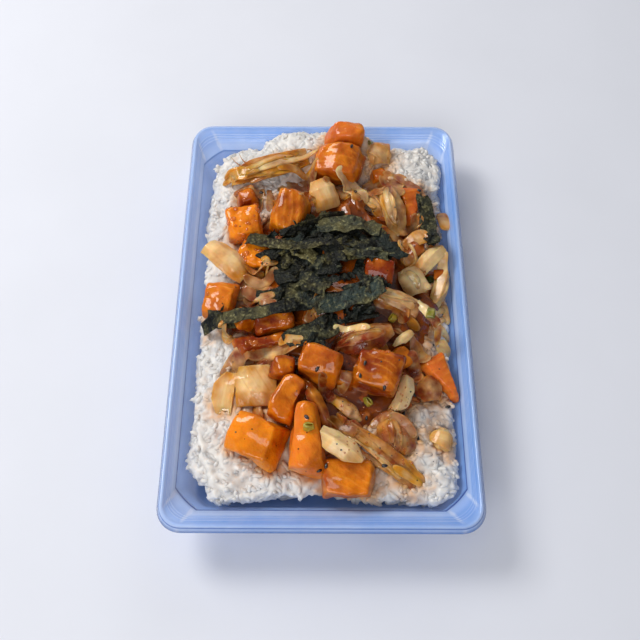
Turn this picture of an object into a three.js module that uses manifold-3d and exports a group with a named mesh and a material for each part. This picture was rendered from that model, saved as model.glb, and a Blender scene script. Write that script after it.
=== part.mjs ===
// Poke bowl to take away: seasoned salmon, onion and toasted nori on white rice in a thin plastic tray.
// Millimetres, +Z up, +X to the right, +Y away from the eater.
// The origin is the middle of the tray's underside.
import * as THREE from 'three';
import { ParametricGeometry } from 'three/addons/geometries/ParametricGeometry.js';
import { mergeVertices } from 'three/addons/utils/BufferGeometryUtils.js';
import Module from 'manifold-3d';

const wasm = await Module();
wasm.setup();

// ---------------------------------------------------------------- driving sizes

const GAP = 0.3;              // clearance between pieces that touch
const SEED = 7;               // start of every random draw
const WALL = 0.8;             // tray sheet
const TRAY_STEPS = 4;         // segments round a tray corner

// Tray levels from the floor outwards: half width, half length, height, corner size and roundness
// (0 is a straight cut, 1 an arc), then how far the underside lies out from and below the level.
const FLOOR = { x: 54.0, y: 88.0, z: 0.9, corner: 7.0, round: 0.5, out: 0.1, down: 0.9 };
const FOOT = { x: 55.3, y: 89.3, z: 2.4, corner: 7.4, round: 0.4, out: 0.8, down: 0.7 };
const STEP_LOW = { x: 57.8, y: 92.2, z: 11.4, corner: 8.6, round: 0.3, out: WALL, down: 0.3 };
const STEP_HIGH = { x: 58.9, y: 93.3, z: 12.0, corner: 9.0, round: 0.3, out: WALL, down: 0.3 };
const BRIM_FOOT = { x: 60.5, y: 95.3, z: 18.0, corner: 9.5, round: 0.2, out: WALL, down: 0.4 };
const FOLD = { x: 64.1, y: 103.9, z: 25.8, corner: 8.4, round: 1, out: 0.5, down: WALL };
const FOLD_OUT = { x: 65.2, y: 105.0, z: 26.0, corner: 9.2, round: 1, out: -0.3, down: WALL };
const LIP = { x: 66.75, y: 106.5, z: 23.0, corner: 10.6, round: 1, out: -WALL, down: 0.1 };
const TRAY_LEVELS = [FLOOR, FOOT, STEP_LOW, STEP_HIGH, BRIM_FOOT, FOLD, FOLD_OUT, LIP];

// Rice: height at the wall, rise to the middle, and the higher heaps along the edge.
const RICE_EDGE_Z = 17;
const RICE_RISE = 7;
const RICE_UNEVEN = 0.5;      // height of the fine waves on its top
const RICE_SHOULDER = { inset: 1.4, drop: 1 };
const RICE_RINGS = [0.82, 0.6, 0.3];  // rings of its top, as shares of its outline
const RICE_BAY = { least: 0.2, wave: 0.7 };
const RICE_HEAPS = [
  { x: -22, y: -84, reach: 16, rise: 3 },
  { x: 38, y: -78, reach: 16, rise: 3 },
  { x: -50, y: -28, reach: 14, rise: 2 },
];
// Pillows of rice pushed up against the brim: middle, and full size.
const RICE_SPILLS = [
  { x: -1, y: 88, z: 20.5, size: [62, 27, 21] },
  { x: -31, y: 74, z: 16, size: [46, 42, 17] },
  { x: 43, y: 78, z: 17, size: [32, 32, 19] },
];
// Where the rice draws back from the wall.
const RICE_BAYS = [
  { x: -58, y: -94, reach: 14, depth: 9 },
  { x: -58, y: 94, reach: 22, depth: 12 },
  { x: 20, y: 98, reach: 16, depth: 6 },
  { x: 2, y: -96, reach: 14, depth: 6 },
  { x: -62, y: -10, reach: 90, depth: 2.5 },
];
const GRAIN = { length: 6.8, width: 3.0, height: 2.5, count: 96, apart: 5.2, lift: 0.35, tilt: 0.8 };
const GRAIN_TRIES = 4000;

// Soaked onion bed: middle, half width and half length on plan, and its thickness.
const BED = { x: 8, y: 0, halfX: 44, halfY: 76, thick: 5.5 };
const BED_CROWN = { x: 7, y: 8, reach: 27, rise: 10 };
const BED_RINGS = [0, 0.25, 0.5, 0.75, 1];
const BED_UNDER = { middle: 4, rim: 1.2 };
const BED_LUMPS = 0.9;

// A block's edges and corners drawn in, as shares, and how far each corner may lie askew.
const BLOCK_EDGE = 0.95;
const BLOCK_CORNER = 0.88;
const BLOCK_SKEW = 0.22;

// Share of its underside with which each kind comes to rest on what lies under it.
const REST = { lowSlice: 0.75, salmon: 0.6, slice: 0.8 };
const SEED_HIGH = 40;         // random draws of the upper salmon blocks

// Salmon pieces, lowest first. at: middle on plan; size: width, depth, height before turning;
// yaw, lean (top towards the eater) and roll (top to the right) in degrees. taper narrows the top,
// and wedge the near end, or the far end where it is negative.
const SALMON_LOW = [
  { name: 'salmon_back_small', at: [27.5, 74.5], size: [7, 8, 8], yaw: 20, lean: 10, roll: 0, taper: 0.1 },
  { name: 'salmon_left_back', at: [-37, 58], size: [9, 8, 9], yaw: 15, lean: 12, roll: 0, taper: 0.1 },
  { name: 'salmon_under_nori', at: [26, 8.5], size: [15, 11, 11], yaw: -10, lean: 20, roll: 0, taper: 0.1 },
  { name: 'salmon_left_long', at: [-20.5, -14.5], size: [20, 9, 10], yaw: 14, lean: 15, roll: 0,
    taper: 0.1 },
  { name: 'salmon_left_strip', at: [-26.5, -22], size: [25, 9, 8], yaw: 17, lean: 20, roll: 0, taper: 0.2 },
  { name: 'salmon_mid_small', at: [-16.5, -36], size: [11, 9, 10], yaw: -5, lean: 10, roll: 0, taper: 0 },
  { name: 'salmon_left_edge', at: [-46, 0], size: [15, 19, 13], yaw: -10, lean: 16, roll: -10, taper: 0.1 },
];
const SALMON_HIGH = [
  { name: 'salmon_back_peak', at: [12, 90], size: [21, 14, 16], yaw: 8, lean: 8, roll: 16, taper: 0.3 },
  { name: 'salmon_back_block', at: [7, 76], size: [23, 21, 18], yaw: -12, lean: 18, roll: -4, taper: 0.1 },
  { name: 'salmon_ribbed', at: [-15, 44.5], size: [17, 20, 15], yaw: -14, lean: 26, roll: 0, taper: 0.05 },
  { name: 'salmon_left_beaded', at: [-37, 41.5], size: [17, 17, 15], yaw: 12, lean: 18, roll: -6,
    taper: 0.1 },
  { name: 'salmon_left_front', at: [-30.5, 23], size: [18, 11, 11], yaw: -22, lean: 20, roll: 0,
    taper: 0.1 },
  { name: 'salmon_right_back', at: [42.5, 55], size: [15, 20, 9], yaw: 4, lean: 12, roll: 4,
    taper: 0.15, wedge: 0.6 },
  { name: 'salmon_middle', at: [-0.5, -37.5], size: [18, 15, 18], yaw: -22, lean: 16, roll: 6,
    taper: 0.05 },
  { name: 'salmon_mid_right', at: [23.5, -41], size: [20, 19, 17], yaw: -16, lean: 16, roll: 0,
    taper: 0.05 },
  { name: 'salmon_slab', at: [34.5, -28.5], size: [9, 9, 6], yaw: 38, lean: 24, roll: -12, taper: 0 },
  { name: 'salmon_right_edge', at: [53, -35], size: [15, 27, 9], yaw: 30, lean: 8, roll: 8, taper: 0.2,
    wedge: 0.75 },
  { name: 'salmon_front_long', at: [-14.5, -51.5], size: [11, 21, 13], yaw: -26, lean: 14, roll: 0,
    taper: 0.1 },
  { name: 'salmon_front_left', at: [-27.5, -68], size: [23, 18, 16], yaw: -24, lean: 14, roll: -6,
    taper: 0.1 },
  { name: 'salmon_front_tall', at: [-6.5, -68], size: [18, 33, 17], yaw: 2, lean: 14, roll: -6,
    taper: 0.15, wedge: -0.5 },
  { name: 'salmon_front_edge', at: [11.5, -84.5], size: [21, 15, 15], yaw: -4, lean: 16, roll: 0,
    taper: 0.05 },
];

// Slices of onion and stem. size: width, length, thickness; tips: width of the near and far end as
// a share of the middle; bend and cup: rise of the middle along and across; arc: bow on plan.
const SLICES_LOW = [
  { name: 'onion_back_sheaf', kind: 'onion', at: [-24.5, 76], size: [12, 46, 2.6], yaw: -71,
    tips: [0.7, 0.35],
    bend: 4, cup: 2, arc: 3, lean: 0, roll: 0 },
  { name: 'onion_left_sheet', kind: 'onion', at: [-35, 10.5], size: [13, 21, 2.4], yaw: -58,
    tips: [0.6, 0.5],
    bend: 2, cup: 2, arc: 2, lean: 8, roll: 0 },
  { name: 'onion_left_arc', kind: 'onion', at: [-24.5, -26.5], size: [8, 36, 2.6], yaw: -64,
    tips: [0.3, 0.5],
    bend: 3, cup: 1.5, arc: 5, lean: 10, roll: 0 },
  { name: 'onion_brown_wide', kind: 'onion', at: [18.5, -22.5], size: [14, 26, 3], yaw: -76,
    tips: [0.5, 0.4],
    bend: 3, cup: 3, arc: 2, lean: 12, roll: 0 },
  { name: 'onion_brown_front', kind: 'onion', at: [31.5, -64.5], size: [17, 20, 3.4], yaw: 8,
    tips: [0.8, 0.6],
    bend: 2, cup: 3, arc: 0, lean: 12, roll: 0 },
  { name: 'onion_right_strip', kind: 'onion', at: [52.5, 45], size: [7, 27, 2.2], yaw: 9, tips: [0.5, 0.4],
    bend: 3, cup: 1, arc: -2, lean: 0, roll: 10 },
];
const SLICES_HIGH = [
  { name: 'stem_left_petal', kind: 'stem', at: [-44.5, 18], size: [13, 25, 3.2], yaw: 48,
    tips: [0.45, 0.75],
    bend: 3, cup: 2.5, arc: 1, lean: 10, roll: 0 },
  { name: 'stem_left_folded', kind: 'stem', at: [-40.5, -44.5], size: [11, 20, 3], yaw: -10,
    tips: [0.7, 0.5],
    bend: 1, cup: -2, arc: -2, lean: 14, roll: -8 },
  { name: 'stem_square', kind: 'stem', at: [-28.5, -42.5], size: [19, 19, 3.2], yaw: 3, tips: [0.95, 0.8],
    bend: 2, cup: 2, arc: 0, lean: 16, roll: 0 },
  { name: 'stem_back_wedge', kind: 'stem', at: [0.5, 56.5], size: [14, 15, 6], yaw: 24, tips: [0.9, 0.45],
    bend: 2, cup: 2, arc: 0, lean: 26, roll: 0 },
  { name: 'onion_back_chunk', kind: 'onion', at: [28, 85], size: [12, 12, 6], yaw: 10, tips: [0.8, 0.7],
    bend: 2.5, cup: 2.5, arc: 0, lean: 12, roll: 0 },
  { name: 'stem_right_petal_back', kind: 'onion', at: [27, 55], size: [9, 18, 3], yaw: 20, tips: [0.5, 0.6],
    bend: 3, cup: 2.5, arc: 0, lean: 14, roll: -10 },
  { name: 'stem_right_petal', kind: 'onion', at: [34, 49], size: [12, 27, 3], yaw: 14, tips: [0.4, 0.6],
    bend: 4, cup: 3, arc: 0, lean: 16, roll: 0 },
  { name: 'stem_right_diamond', kind: 'stem', at: [41.5, 9.5], size: [13, 14, 3.6], yaw: 24,
    tips: [0.7, 0.7],
    bend: 2, cup: 2, arc: 0, lean: 14, roll: 0 },
  { name: 'stem_right_pale', kind: 'stem', at: [55, 12], size: [8, 25, 3], yaw: -16, tips: [0.6, 0.5],
    bend: 3, cup: 1.5, arc: 0, lean: 0, roll: 12 },
  { name: 'stem_right_tip', kind: 'stem', at: [50.5, 22], size: [9, 18, 3], yaw: -46, tips: [0.85, 0.4],
    bend: 2, cup: 2.5, arc: 0, lean: 12, roll: 0 },
  { name: 'stem_ridged', kind: 'stem', at: [33.5, -4], size: [9, 22, 4], yaw: 63, tips: [0.9, 0.8],
    bend: 1.5, cup: 2, arc: 0, lean: 0, roll: 0 },
  { name: 'stem_white_strip', kind: 'stem', at: [46.5, -11.5], size: [6, 16, 3], yaw: 38, tips: [0.5, 0.6],
    bend: 1.5, cup: 1, arc: 0, lean: 0, roll: 0 },
  { name: 'stem_small_oval', kind: 'stem', at: [35.5, -22], size: [6, 12, 3], yaw: -48, tips: [0.4, 0.5],
    bend: 1, cup: 1, arc: 0, lean: 0, roll: 0 },
  { name: 'stem_right_chunk', kind: 'stem', at: [47, -42], size: [11, 11, 5.5], yaw: 10, tips: [0.7, 0.8],
    bend: 2, cup: 2.5, arc: 0, lean: 12, roll: 0 },
  { name: 'stem_right_triangle', kind: 'stem', at: [51, -64.5], size: [10, 10, 2.8], yaw: -20,
    tips: [0.9, 0.25],
    bend: 1, cup: 1.5, arc: 0, lean: 14, roll: 0 },
  { name: 'onion_front_diagonal', kind: 'onion', at: [-2, -54.5], size: [7, 23, 3], yaw: 28,
    tips: [0.5, 0.35],
    bend: 3, cup: 1.5, arc: 0, lean: 10, roll: 0 },
  { name: 'onion_mid_sliver', kind: 'onion', at: [10.5, -53.5], size: [7, 17, 2.6], yaw: 52,
    tips: [0.25, 0.6],
    bend: 2, cup: 1.5, arc: 0, lean: 10, roll: 0 },
  { name: 'stem_curled', kind: 'stem', at: [33.5, -48], size: [7, 17, 3.2], yaw: -22, tips: [0.8, 0.7],
    bend: 3, cup: 4, arc: 2, lean: 16, roll: 0 },
  { name: 'stem_cream_petal', kind: 'stem', at: [8, -74], size: [11, 22, 3.4], yaw: 58, tips: [0.2, 0.7],
    bend: 2, cup: 2.5, arc: 0, lean: 14, roll: 0 },
  { name: 'onion_front_long', kind: 'onion', at: [23, -70.5], size: [8, 46, 3], yaw: 46, tips: [0.5, 0.35],
    bend: 4, cup: 1.5, arc: -1, lean: 10, roll: 0 },
];

// Torn and cut sheets of toasted nori, each draped over what lies under it.
const NORI = [
  { name: 'nori_front_dark', at: [13.5, -14], size: [6, 24], yaw: -86, tips: [0.8, 0.7], arc: 0,
    lift: 1.2 },
  { name: 'nori_front_torn', at: [-5, -21], size: [14, 24], yaw: -70, tips: [0.5, 0.7], arc: 2, lift: 1.4 },
  { name: 'nori_left_patch', at: [-13, -2], size: [19, 32], yaw: -76, tips: [0.9, 0.35], arc: 1,
    lift: 2.0 },
  { name: 'nori_left_strip', at: [-31, -10.5], size: [6.5, 42], yaw: -90, tips: [0.8, 0.9], arc: 1,
    lift: 1.7 },
  { name: 'nori_dark_patch', at: [-7, 13], size: [19, 29], yaw: -84, tips: [0.8, 0.8], arc: 0, lift: 1.8 },
  { name: 'nori_crown', at: [15.5, 27.5], size: [27, 32], yaw: -62, tips: [0.6, 0.8], arc: 2, lift: 2.3 },
  { name: 'nori_blue_strip', at: [11, -5], size: [7.5, 32], yaw: -68, tips: [0.8, 0.8], arc: -1,
    lift: 1.8 },
  { name: 'nori_back_strip', at: [-15.5, 24], size: [6, 38], yaw: -104, tips: [0.9, 0.7], arc: -2,
    lift: 1.7 },
  { name: 'nori_back_edge', at: [-4, 36], size: [4.5, 33], yaw: -66, tips: [0.5, 0.7], arc: 1, lift: 1.9 },
  { name: 'nori_right_strip', at: [50, 43.5], size: [5, 27], yaw: 10, tips: [0.9, 0.8], arc: -1,
    lift: 1.4 },
];
const SLICE_RIM = 0.5;         // thickness at a slice's rim, as a share of its middle
const NORI_THICK = 0.9;
const NORI_DIP = 0.6;         // how far a sheet sinks between the high points it spans
const NORI_CRINKLE = 0.6;
const NORI_REACH = 3.5;       // how far round a point the sheet feels what lies under it

// Small slices fused to the soaked bed: middle on plan, width, length, yaw.
const BED_SLICE_THICK = 2.4;
const BED_SLICES = [
  [15, 54, 11, 14, -40], [44, 30, 8, 12, -35], [12, -21, 5, 15, -86], [9, -43, 7, 7, 20],
  [20, 30, 8, 16, 35], [28, 60, 7, 14, 60], [38, -58, 7, 14, 70], [42, -30, 6, 12, 15],
  [14, -60, 8, 16, -30], [30, -40, 6, 10, 80],
];

// Seeds and cut spring onion that lie loose on the toppings, each fused to what carries it.
const SEED_SIZE = [2.6, 1.7, 1.3];
const SEED_SPOTS = [
  [12, 71], [44, 47], [17, -40], [-3, -46], [-7, -62], [19, -62],
  [38, -62], [44, -73], [27, -84], [0, -84], [-30, -46], [5, -40],
];
const CHIP_SIZE = [5.5, 4.5, 3];
const CHIP_SPOTS = [[48, 7], [46, -20], [19, -55], [-5, -65], [31, -15]];

const COLOURS = {
  tray: { color: 0x8fb0e6, roughness: 0.25, metalness: 0 },
  rice: { color: 0xebe7df, roughness: 0.5, metalness: 0 },
  bed: { color: 0x8a4a22, roughness: 0.3, metalness: 0 },
  salmon: { color: 0xd9651c, roughness: 0.35, metalness: 0 },
  stem: { color: 0xe0b878, roughness: 0.4, metalness: 0 },
  onion: { color: 0xb98558, roughness: 0.35, metalness: 0 },
  nori: { color: 0x30342a, roughness: 0.6, metalness: 0 },
};

// ---------------------------------------------------------------- small helpers

const rad = THREE.MathUtils.degToRad;

// Repeatable random numbers from 0 to 1.
function randomFrom(seed) {
  let state = seed;
  return () => {
    state = (state * 1664525 + 1013904223) >>> 0;
    return state / 4294967296;
  };
}

// Smooth unevenness between -1 and 1; each seed gives another pattern.
function ripple(x, y, seed) {
  const a = Math.sin(x * 1.0 + y * 0.6 + seed * 1.7);
  const b = Math.sin(x * -0.7 + y * 1.1 + seed * 2.9);
  const c = Math.sin(x * 1.9 - y * 1.5 + seed * 4.1);
  return (a + b + 0.6 * c) / 2.6;
}

// A closed geometry as a solid, with shared corners and no collapsed triangles.
function solidOf(geometry) {
  const bare = geometry.clone();
  bare.deleteAttribute('normal');
  bare.deleteAttribute('uv');
  const merged = mergeVertices(bare, 1e-3);
  const triangles = [];
  const index = merged.index.array;
  for (let i = 0; i < index.length; i += 3) {
    const [a, b, c] = [index[i], index[i + 1], index[i + 2]];
    if (a !== b && b !== c && c !== a) triangles.push(a, b, c);
  }
  const mesh = new wasm.Mesh({
    numProp: 3,
    vertProperties: new Float32Array(merged.attributes.position.array),
    triVerts: new Uint32Array(triangles),
  });
  return new wasm.Manifold(mesh);
}

// The geometry of a solid, with its origin at the given point.
function geometryOf(solid, origin) {
  const mesh = solid.getMesh();
  const geometry = new THREE.BufferGeometry();
  geometry.setAttribute('position', new THREE.BufferAttribute(new Float32Array(mesh.vertProperties), 3));
  geometry.setIndex(new THREE.BufferAttribute(new Uint32Array(mesh.triVerts), 1));
  geometry.translate(-origin.x, -origin.y, -origin.z);
  geometry.computeVertexNormals();
  return geometry;
}

// The same geometry with every point moved out along its normal.
function grown(geometry, distance) {
  const bare = geometry.clone();
  bare.deleteAttribute('normal');
  bare.deleteAttribute('uv');
  const merged = mergeVertices(bare, 1e-3);
  merged.computeVertexNormals();
  const points = merged.attributes.position;
  const normals = merged.attributes.normal;
  for (let i = 0; i < points.count; i += 1) {
    points.setXYZ(i, points.getX(i) + normals.getX(i) * distance,
      points.getY(i) + normals.getY(i) * distance, points.getZ(i) + normals.getZ(i) * distance);
  }
  return merged;
}

// The largest body of a solid: what a cut leaves loose is dropped.
function largestBody(solid) {
  const bodies = solid.decompose();
  return bodies.reduce((best, body) => (body.volume() > best.volume() ? body : best));
}

// ---------------------------------------------------------------- tray

// Point of a level's outline: side 0 to 3, step 0 to TRAY_STEPS round the corner, then mid-side.
function cornerPoint(x, y, level, side, step) {
  const share = step / TRAY_STEPS;
  const turn = (side + share) * Math.PI / 2;
  const signX = side === 0 || side === 3 ? 1 : -1;
  const signY = side < 2 ? 1 : -1;
  const middle = new THREE.Vector2(signX * (x - level.corner), signY * (y - level.corner));
  const start = side * Math.PI / 2;
  const end = start + Math.PI / 2;
  const arc = new THREE.Vector2(Math.cos(turn), Math.sin(turn));
  const cut = new THREE.Vector2(Math.cos(start), Math.sin(start));
  cut.lerp(new THREE.Vector2(Math.cos(end), Math.sin(end)), share);
  return cut.lerp(arc, level.round).multiplyScalar(level.corner).add(middle);
}

function outlinePoint(x, y, level, position) {
  const perSide = TRAY_STEPS + 2;
  const place = position % (4 * perSide);
  const side = Math.floor(place / perSide);
  const step = place % perSide;
  if (step <= TRAY_STEPS) return cornerPoint(x, y, level, side, step);
  const last = cornerPoint(x, y, level, side, TRAY_STEPS);
  return last.add(cornerPoint(x, y, level, (side + 1) % 4, 0)).multiplyScalar(0.5);
}

// Closed skin: up the outside from the underside's middle, over the lip and down to the floor's middle.
function trayGeometry() {
  const rows = [];
  rows.push({ x: 0, y: 0, z: 0, level: FLOOR });
  for (const level of TRAY_LEVELS) {
    rows.push({ x: level.x + level.out, y: level.y + level.out, z: level.z - level.down, level });
  }
  for (const level of [...TRAY_LEVELS].reverse()) {
    rows.push({ x: level.x, y: level.y, z: level.z, level });
  }
  rows.push({ x: 0, y: 0, z: FLOOR.z, level: FLOOR });
  const columns = 4 * (TRAY_STEPS + 2);
  const skin = (u, v, target) => {
    const row = rows[Math.round(v * (rows.length - 1))];
    if (row.x === 0) {
      target.set(0, 0, row.z);
      return;
    }
    const point = outlinePoint(row.x, row.y, row.level, Math.round(u * columns));
    target.set(point.x, point.y, row.z);
  };
  return new ParametricGeometry(skin, columns, rows.length - 1);
}

// ---------------------------------------------------------------- rice

const RICE_COLUMNS = 36;
const RICE_X = STEP_LOW.x - 0.4;
const RICE_Y = STEP_LOW.y - 0.2;
const SQUARENESS = 12;

// Point on the rounded-rectangle outline of the filling at an angle.
function fillingOutline(halfX, halfY, angle) {
  const c = Math.cos(angle);
  const s = Math.sin(angle);
  const x = halfX * Math.sign(c) * Math.abs(c) ** (2 / SQUARENESS);
  const y = halfY * Math.sign(s) * Math.abs(s) ** (2 / SQUARENESS);
  return new THREE.Vector2(x, y);
}

// How far the rice stands back from the wall near a point.
function riceBay(x, y) {
  let depth = RICE_BAY.least + RICE_BAY.wave * (1 + ripple(x * 0.21, y * 0.23, 3));
  for (const bay of RICE_BAYS) {
    const far = Math.hypot(x - bay.x, y - bay.y) / bay.reach;
    depth += bay.depth * Math.exp(-far * far * 2);
  }
  return depth;
}

// Height of the bare rice: a low cushion with heaps.
function riceHeight(x, y) {
  const share = (Math.abs(x / RICE_X) ** 4 + Math.abs(y / RICE_Y) ** 4) ** 0.25;
  let z = RICE_EDGE_Z + RICE_RISE * (1 - Math.min(share, 1) ** 2.4);
  for (const heap of RICE_HEAPS) {
    const far = Math.hypot(x - heap.x, y - heap.y) / heap.reach;
    z += heap.rise * Math.exp(-far * far * 1.6);
  }
  return z + RICE_UNEVEN * ripple(x * 0.5, y * 0.5, 11);
}

function riceGeometry() {
  const clear = GAP / 2;
  const rows = [
    { inset: 60, z: FLOOR.z + GAP, pole: true },
    { inset: RICE_X - FLOOR.x + 0.8, z: FLOOR.z + GAP },
    { inset: RICE_X - FOOT.x + 0.5, z: FOOT.z + 1 },
    { inset: clear, z: STEP_LOW.z - 1 },
    { inset: -0.8, z: STEP_HIGH.z + 2.4 },
    { inset: RICE_SHOULDER.inset, onTop: RICE_SHOULDER.drop },
    ...RICE_RINGS.map((share) => ({ share })),
    { share: 0, pole: true },
  ];
  const skin = (u, v, target) => {
    const row = rows[Math.round(v * (rows.length - 1))];
    const turn = Math.round(u * RICE_COLUMNS) % RICE_COLUMNS;
    const edge = fillingOutline(RICE_X, RICE_Y, turn / RICE_COLUMNS * 2 * Math.PI);
    const bay = riceBay(edge.x, edge.y);
    const inwards = edge.clone().normalize();
    const rim = edge.clone().sub(inwards.clone().multiplyScalar(bay));
    if (row.pole) {
      target.set(0, 0, row.share === 0 ? riceHeight(0, 0) : row.z);
      return;
    }
    if (row.share !== undefined) {
      rim.multiplyScalar(row.share);
      target.set(rim.x, rim.y, riceHeight(rim.x, rim.y));
      return;
    }
    rim.sub(inwards.multiplyScalar(row.inset));
    target.set(rim.x, rim.y, row.onTop ? riceHeight(rim.x, rim.y) - row.onTop : row.z);
  };
  return new ParametricGeometry(skin, RICE_COLUMNS, rows.length - 1);
}

// A ball drawn out towards the corners of its box.
function pillowGeometry(spill) {
  const pillow = new THREE.SphereGeometry(1, 12, 6);
  pillow.rotateX(Math.PI / 2);
  const points = pillow.attributes.position;
  for (let i = 0; i < points.count; i += 1) {
    const [x, y, z] = [points.getX(i), points.getY(i), points.getZ(i)];
    const reach = 0.5 / (Math.abs(x) ** 3 + Math.abs(y) ** 3 + Math.abs(z) ** 3) ** (1 / 3);
    points.setXYZ(i, x * reach, y * reach, z * reach);
  }
  pillow.scale(...spill.size);
  pillow.translate(spill.x, spill.y, spill.z);
  return pillow;
}

// One boiled grain, blunt at both ends.
function grainGeometry(x, y, z, yaw, tilt) {
  const grain = new THREE.SphereGeometry(0.5, 4, 3);
  grain.rotateZ(Math.PI / 2);
  grain.scale(GRAIN.length, GRAIN.width, GRAIN.height);
  grain.rotateY(tilt);
  grain.rotateZ(yaw);
  grain.translate(x, y, z);
  return grain;
}

// ---------------------------------------------------------------- relief of the heap

// Height of everything placed so far, on a 1 mm grid.
const GRID = { halfX: 70, halfY: 110 };
const relief = new Float32Array((2 * GRID.halfX + 1) * (2 * GRID.halfY + 1));
const carrier = new Array(relief.length).fill(null);

function cellAt(x, y) {
  const column = THREE.MathUtils.clamp(Math.round(x) + GRID.halfX, 0, 2 * GRID.halfX);
  const row = THREE.MathUtils.clamp(Math.round(y) + GRID.halfY, 0, 2 * GRID.halfY);
  return row * (2 * GRID.halfX + 1) + column;
}

const reliefAt = (x, y) => relief[cellAt(x, y)];

// Raises the relief to the top of a geometry, and notes who lies on top.
function addToRelief(geometry, owner) {
  const points = geometry.attributes.position;
  const index = geometry.index.array;
  const [a, b, c] = [new THREE.Vector3(), new THREE.Vector3(), new THREE.Vector3()];
  const weights = new THREE.Vector3();
  for (let i = 0; i < index.length; i += 3) {
    a.fromBufferAttribute(points, index[i]);
    b.fromBufferAttribute(points, index[i + 1]);
    c.fromBufferAttribute(points, index[i + 2]);
    const flat = [a, b, c].map((p) => new THREE.Vector3(p.x, p.y, 0));
    for (let x = Math.ceil(Math.min(a.x, b.x, c.x)); x <= Math.max(a.x, b.x, c.x); x += 1) {
      for (let y = Math.ceil(Math.min(a.y, b.y, c.y)); y <= Math.max(a.y, b.y, c.y); y += 1) {
        const spot = new THREE.Vector3(x, y, 0);
        if (!THREE.Triangle.getBarycoord(spot, ...flat, weights)) continue;
        if (Math.min(weights.x, weights.y, weights.z) < -1e-6) continue;
        const z = a.z * weights.x + b.z * weights.y + c.z * weights.z;
        const cell = cellAt(x, y);
        if (z > relief[cell]) {
          relief[cell] = z;
          carrier[cell] = owner;
        }
      }
    }
  }
}

// Lowers a geometry onto the heap until the given share of its underside would touch.
function settle(geometry, share) {
  const points = geometry.attributes.position;
  geometry.computeBoundingBox();
  const middle = (geometry.boundingBox.min.z + geometry.boundingBox.max.z) / 2;
  const drops = [];
  for (let i = 0; i < points.count; i += 1) {
    if (points.getZ(i) > middle) continue;
    drops.push(reliefAt(points.getX(i), points.getY(i)) - points.getZ(i));
  }
  drops.sort((p, q) => p - q);
  geometry.translate(0, 0, drops[Math.floor((drops.length - 1) * share)]);
  return geometry;
}

// ---------------------------------------------------------------- shapes of the toppings

// A hand-cut block: chamfered, slightly skewed at each corner, narrower at the top.
function blockGeometry(spec, seed) {
  const [width, depth, height] = spec.size;
  const random = randomFrom(seed);
  const askew = () => new THREE.Vector3(random() - 0.5, random() - 0.5, random() - 0.5);
  const skew = Array.from({ length: 8 }, askew);
  const block = new THREE.BoxGeometry(1, 1, 1, 2, 2, 2);
  const points = block.attributes.position;
  const point = new THREE.Vector3();
  for (let i = 0; i < points.count; i += 1) {
    point.fromBufferAttribute(points, i);
    const faces = [point.x, point.y, point.z].filter((c) => Math.abs(c) === 0.5).length;
    if (faces === 2) point.multiplyScalar(BLOCK_EDGE);
    if (faces === 3) point.multiplyScalar(BLOCK_CORNER);
    const [u, v, w] = [point.x + 0.5, point.y + 0.5, point.z + 0.5];
    skew.forEach((shift, corner) => {
      const weight = (corner & 1 ? u : 1 - u) * (corner & 2 ? v : 1 - v) * (corner & 4 ? w : 1 - w);
      point.addScaledVector(shift, weight * BLOCK_SKEW);
    });
    const narrow = 1 - spec.taper * w;
    const wedge = spec.wedge ?? 0;
    const pinch = 1 - Math.abs(wedge) * (wedge > 0 ? 1 - v : v);
    points.setXYZ(i, point.x * width * narrow * pinch, point.y * depth * narrow, point.z * height);
  }
  return placed(block, spec);
}

// Turns a geometry about its middle and moves it over its place on plan.
function placed(geometry, spec) {
  const turn = new THREE.Euler(rad(spec.lean ?? 0), rad(spec.roll ?? 0), rad(spec.yaw), 'ZXY');
  geometry.applyMatrix4(new THREE.Matrix4().makeRotationFromEuler(turn));
  geometry.translate(spec.at[0], spec.at[1], 0);
  return geometry;
}

// Half width of a slice along its length, from 0 at the near end to 1 at the far end.
function sliceShare(spec, along) {
  const [near, far] = spec.tips;
  const ends = near + (far - near) * along;
  return ends + (1 - ends) * Math.sin(Math.PI * along) ** 0.7;
}

// The middle surface of a slice as a bent sheet.
function sliceSurface(spec, columns, rows) {
  const [width, length] = spec.size;
  const sheet = new THREE.PlaneGeometry(1, 1, columns, rows);
  const points = sheet.attributes.position;
  for (let i = 0; i < points.count; i += 1) {
    const across = points.getX(i) * 2;
    const along = points.getY(i) + 0.5;
    const middle = 1 - (2 * along - 1) ** 2;
    const x = across * width / 2 * sliceShare(spec, along) + spec.arc * middle;
    const z = (spec.bend ?? 0) * middle - (spec.cup ?? 0) * across * across;
    points.setXYZ(i, x, (along - 0.5) * length, z);
  }
  return placed(sheet, spec);
}

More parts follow.
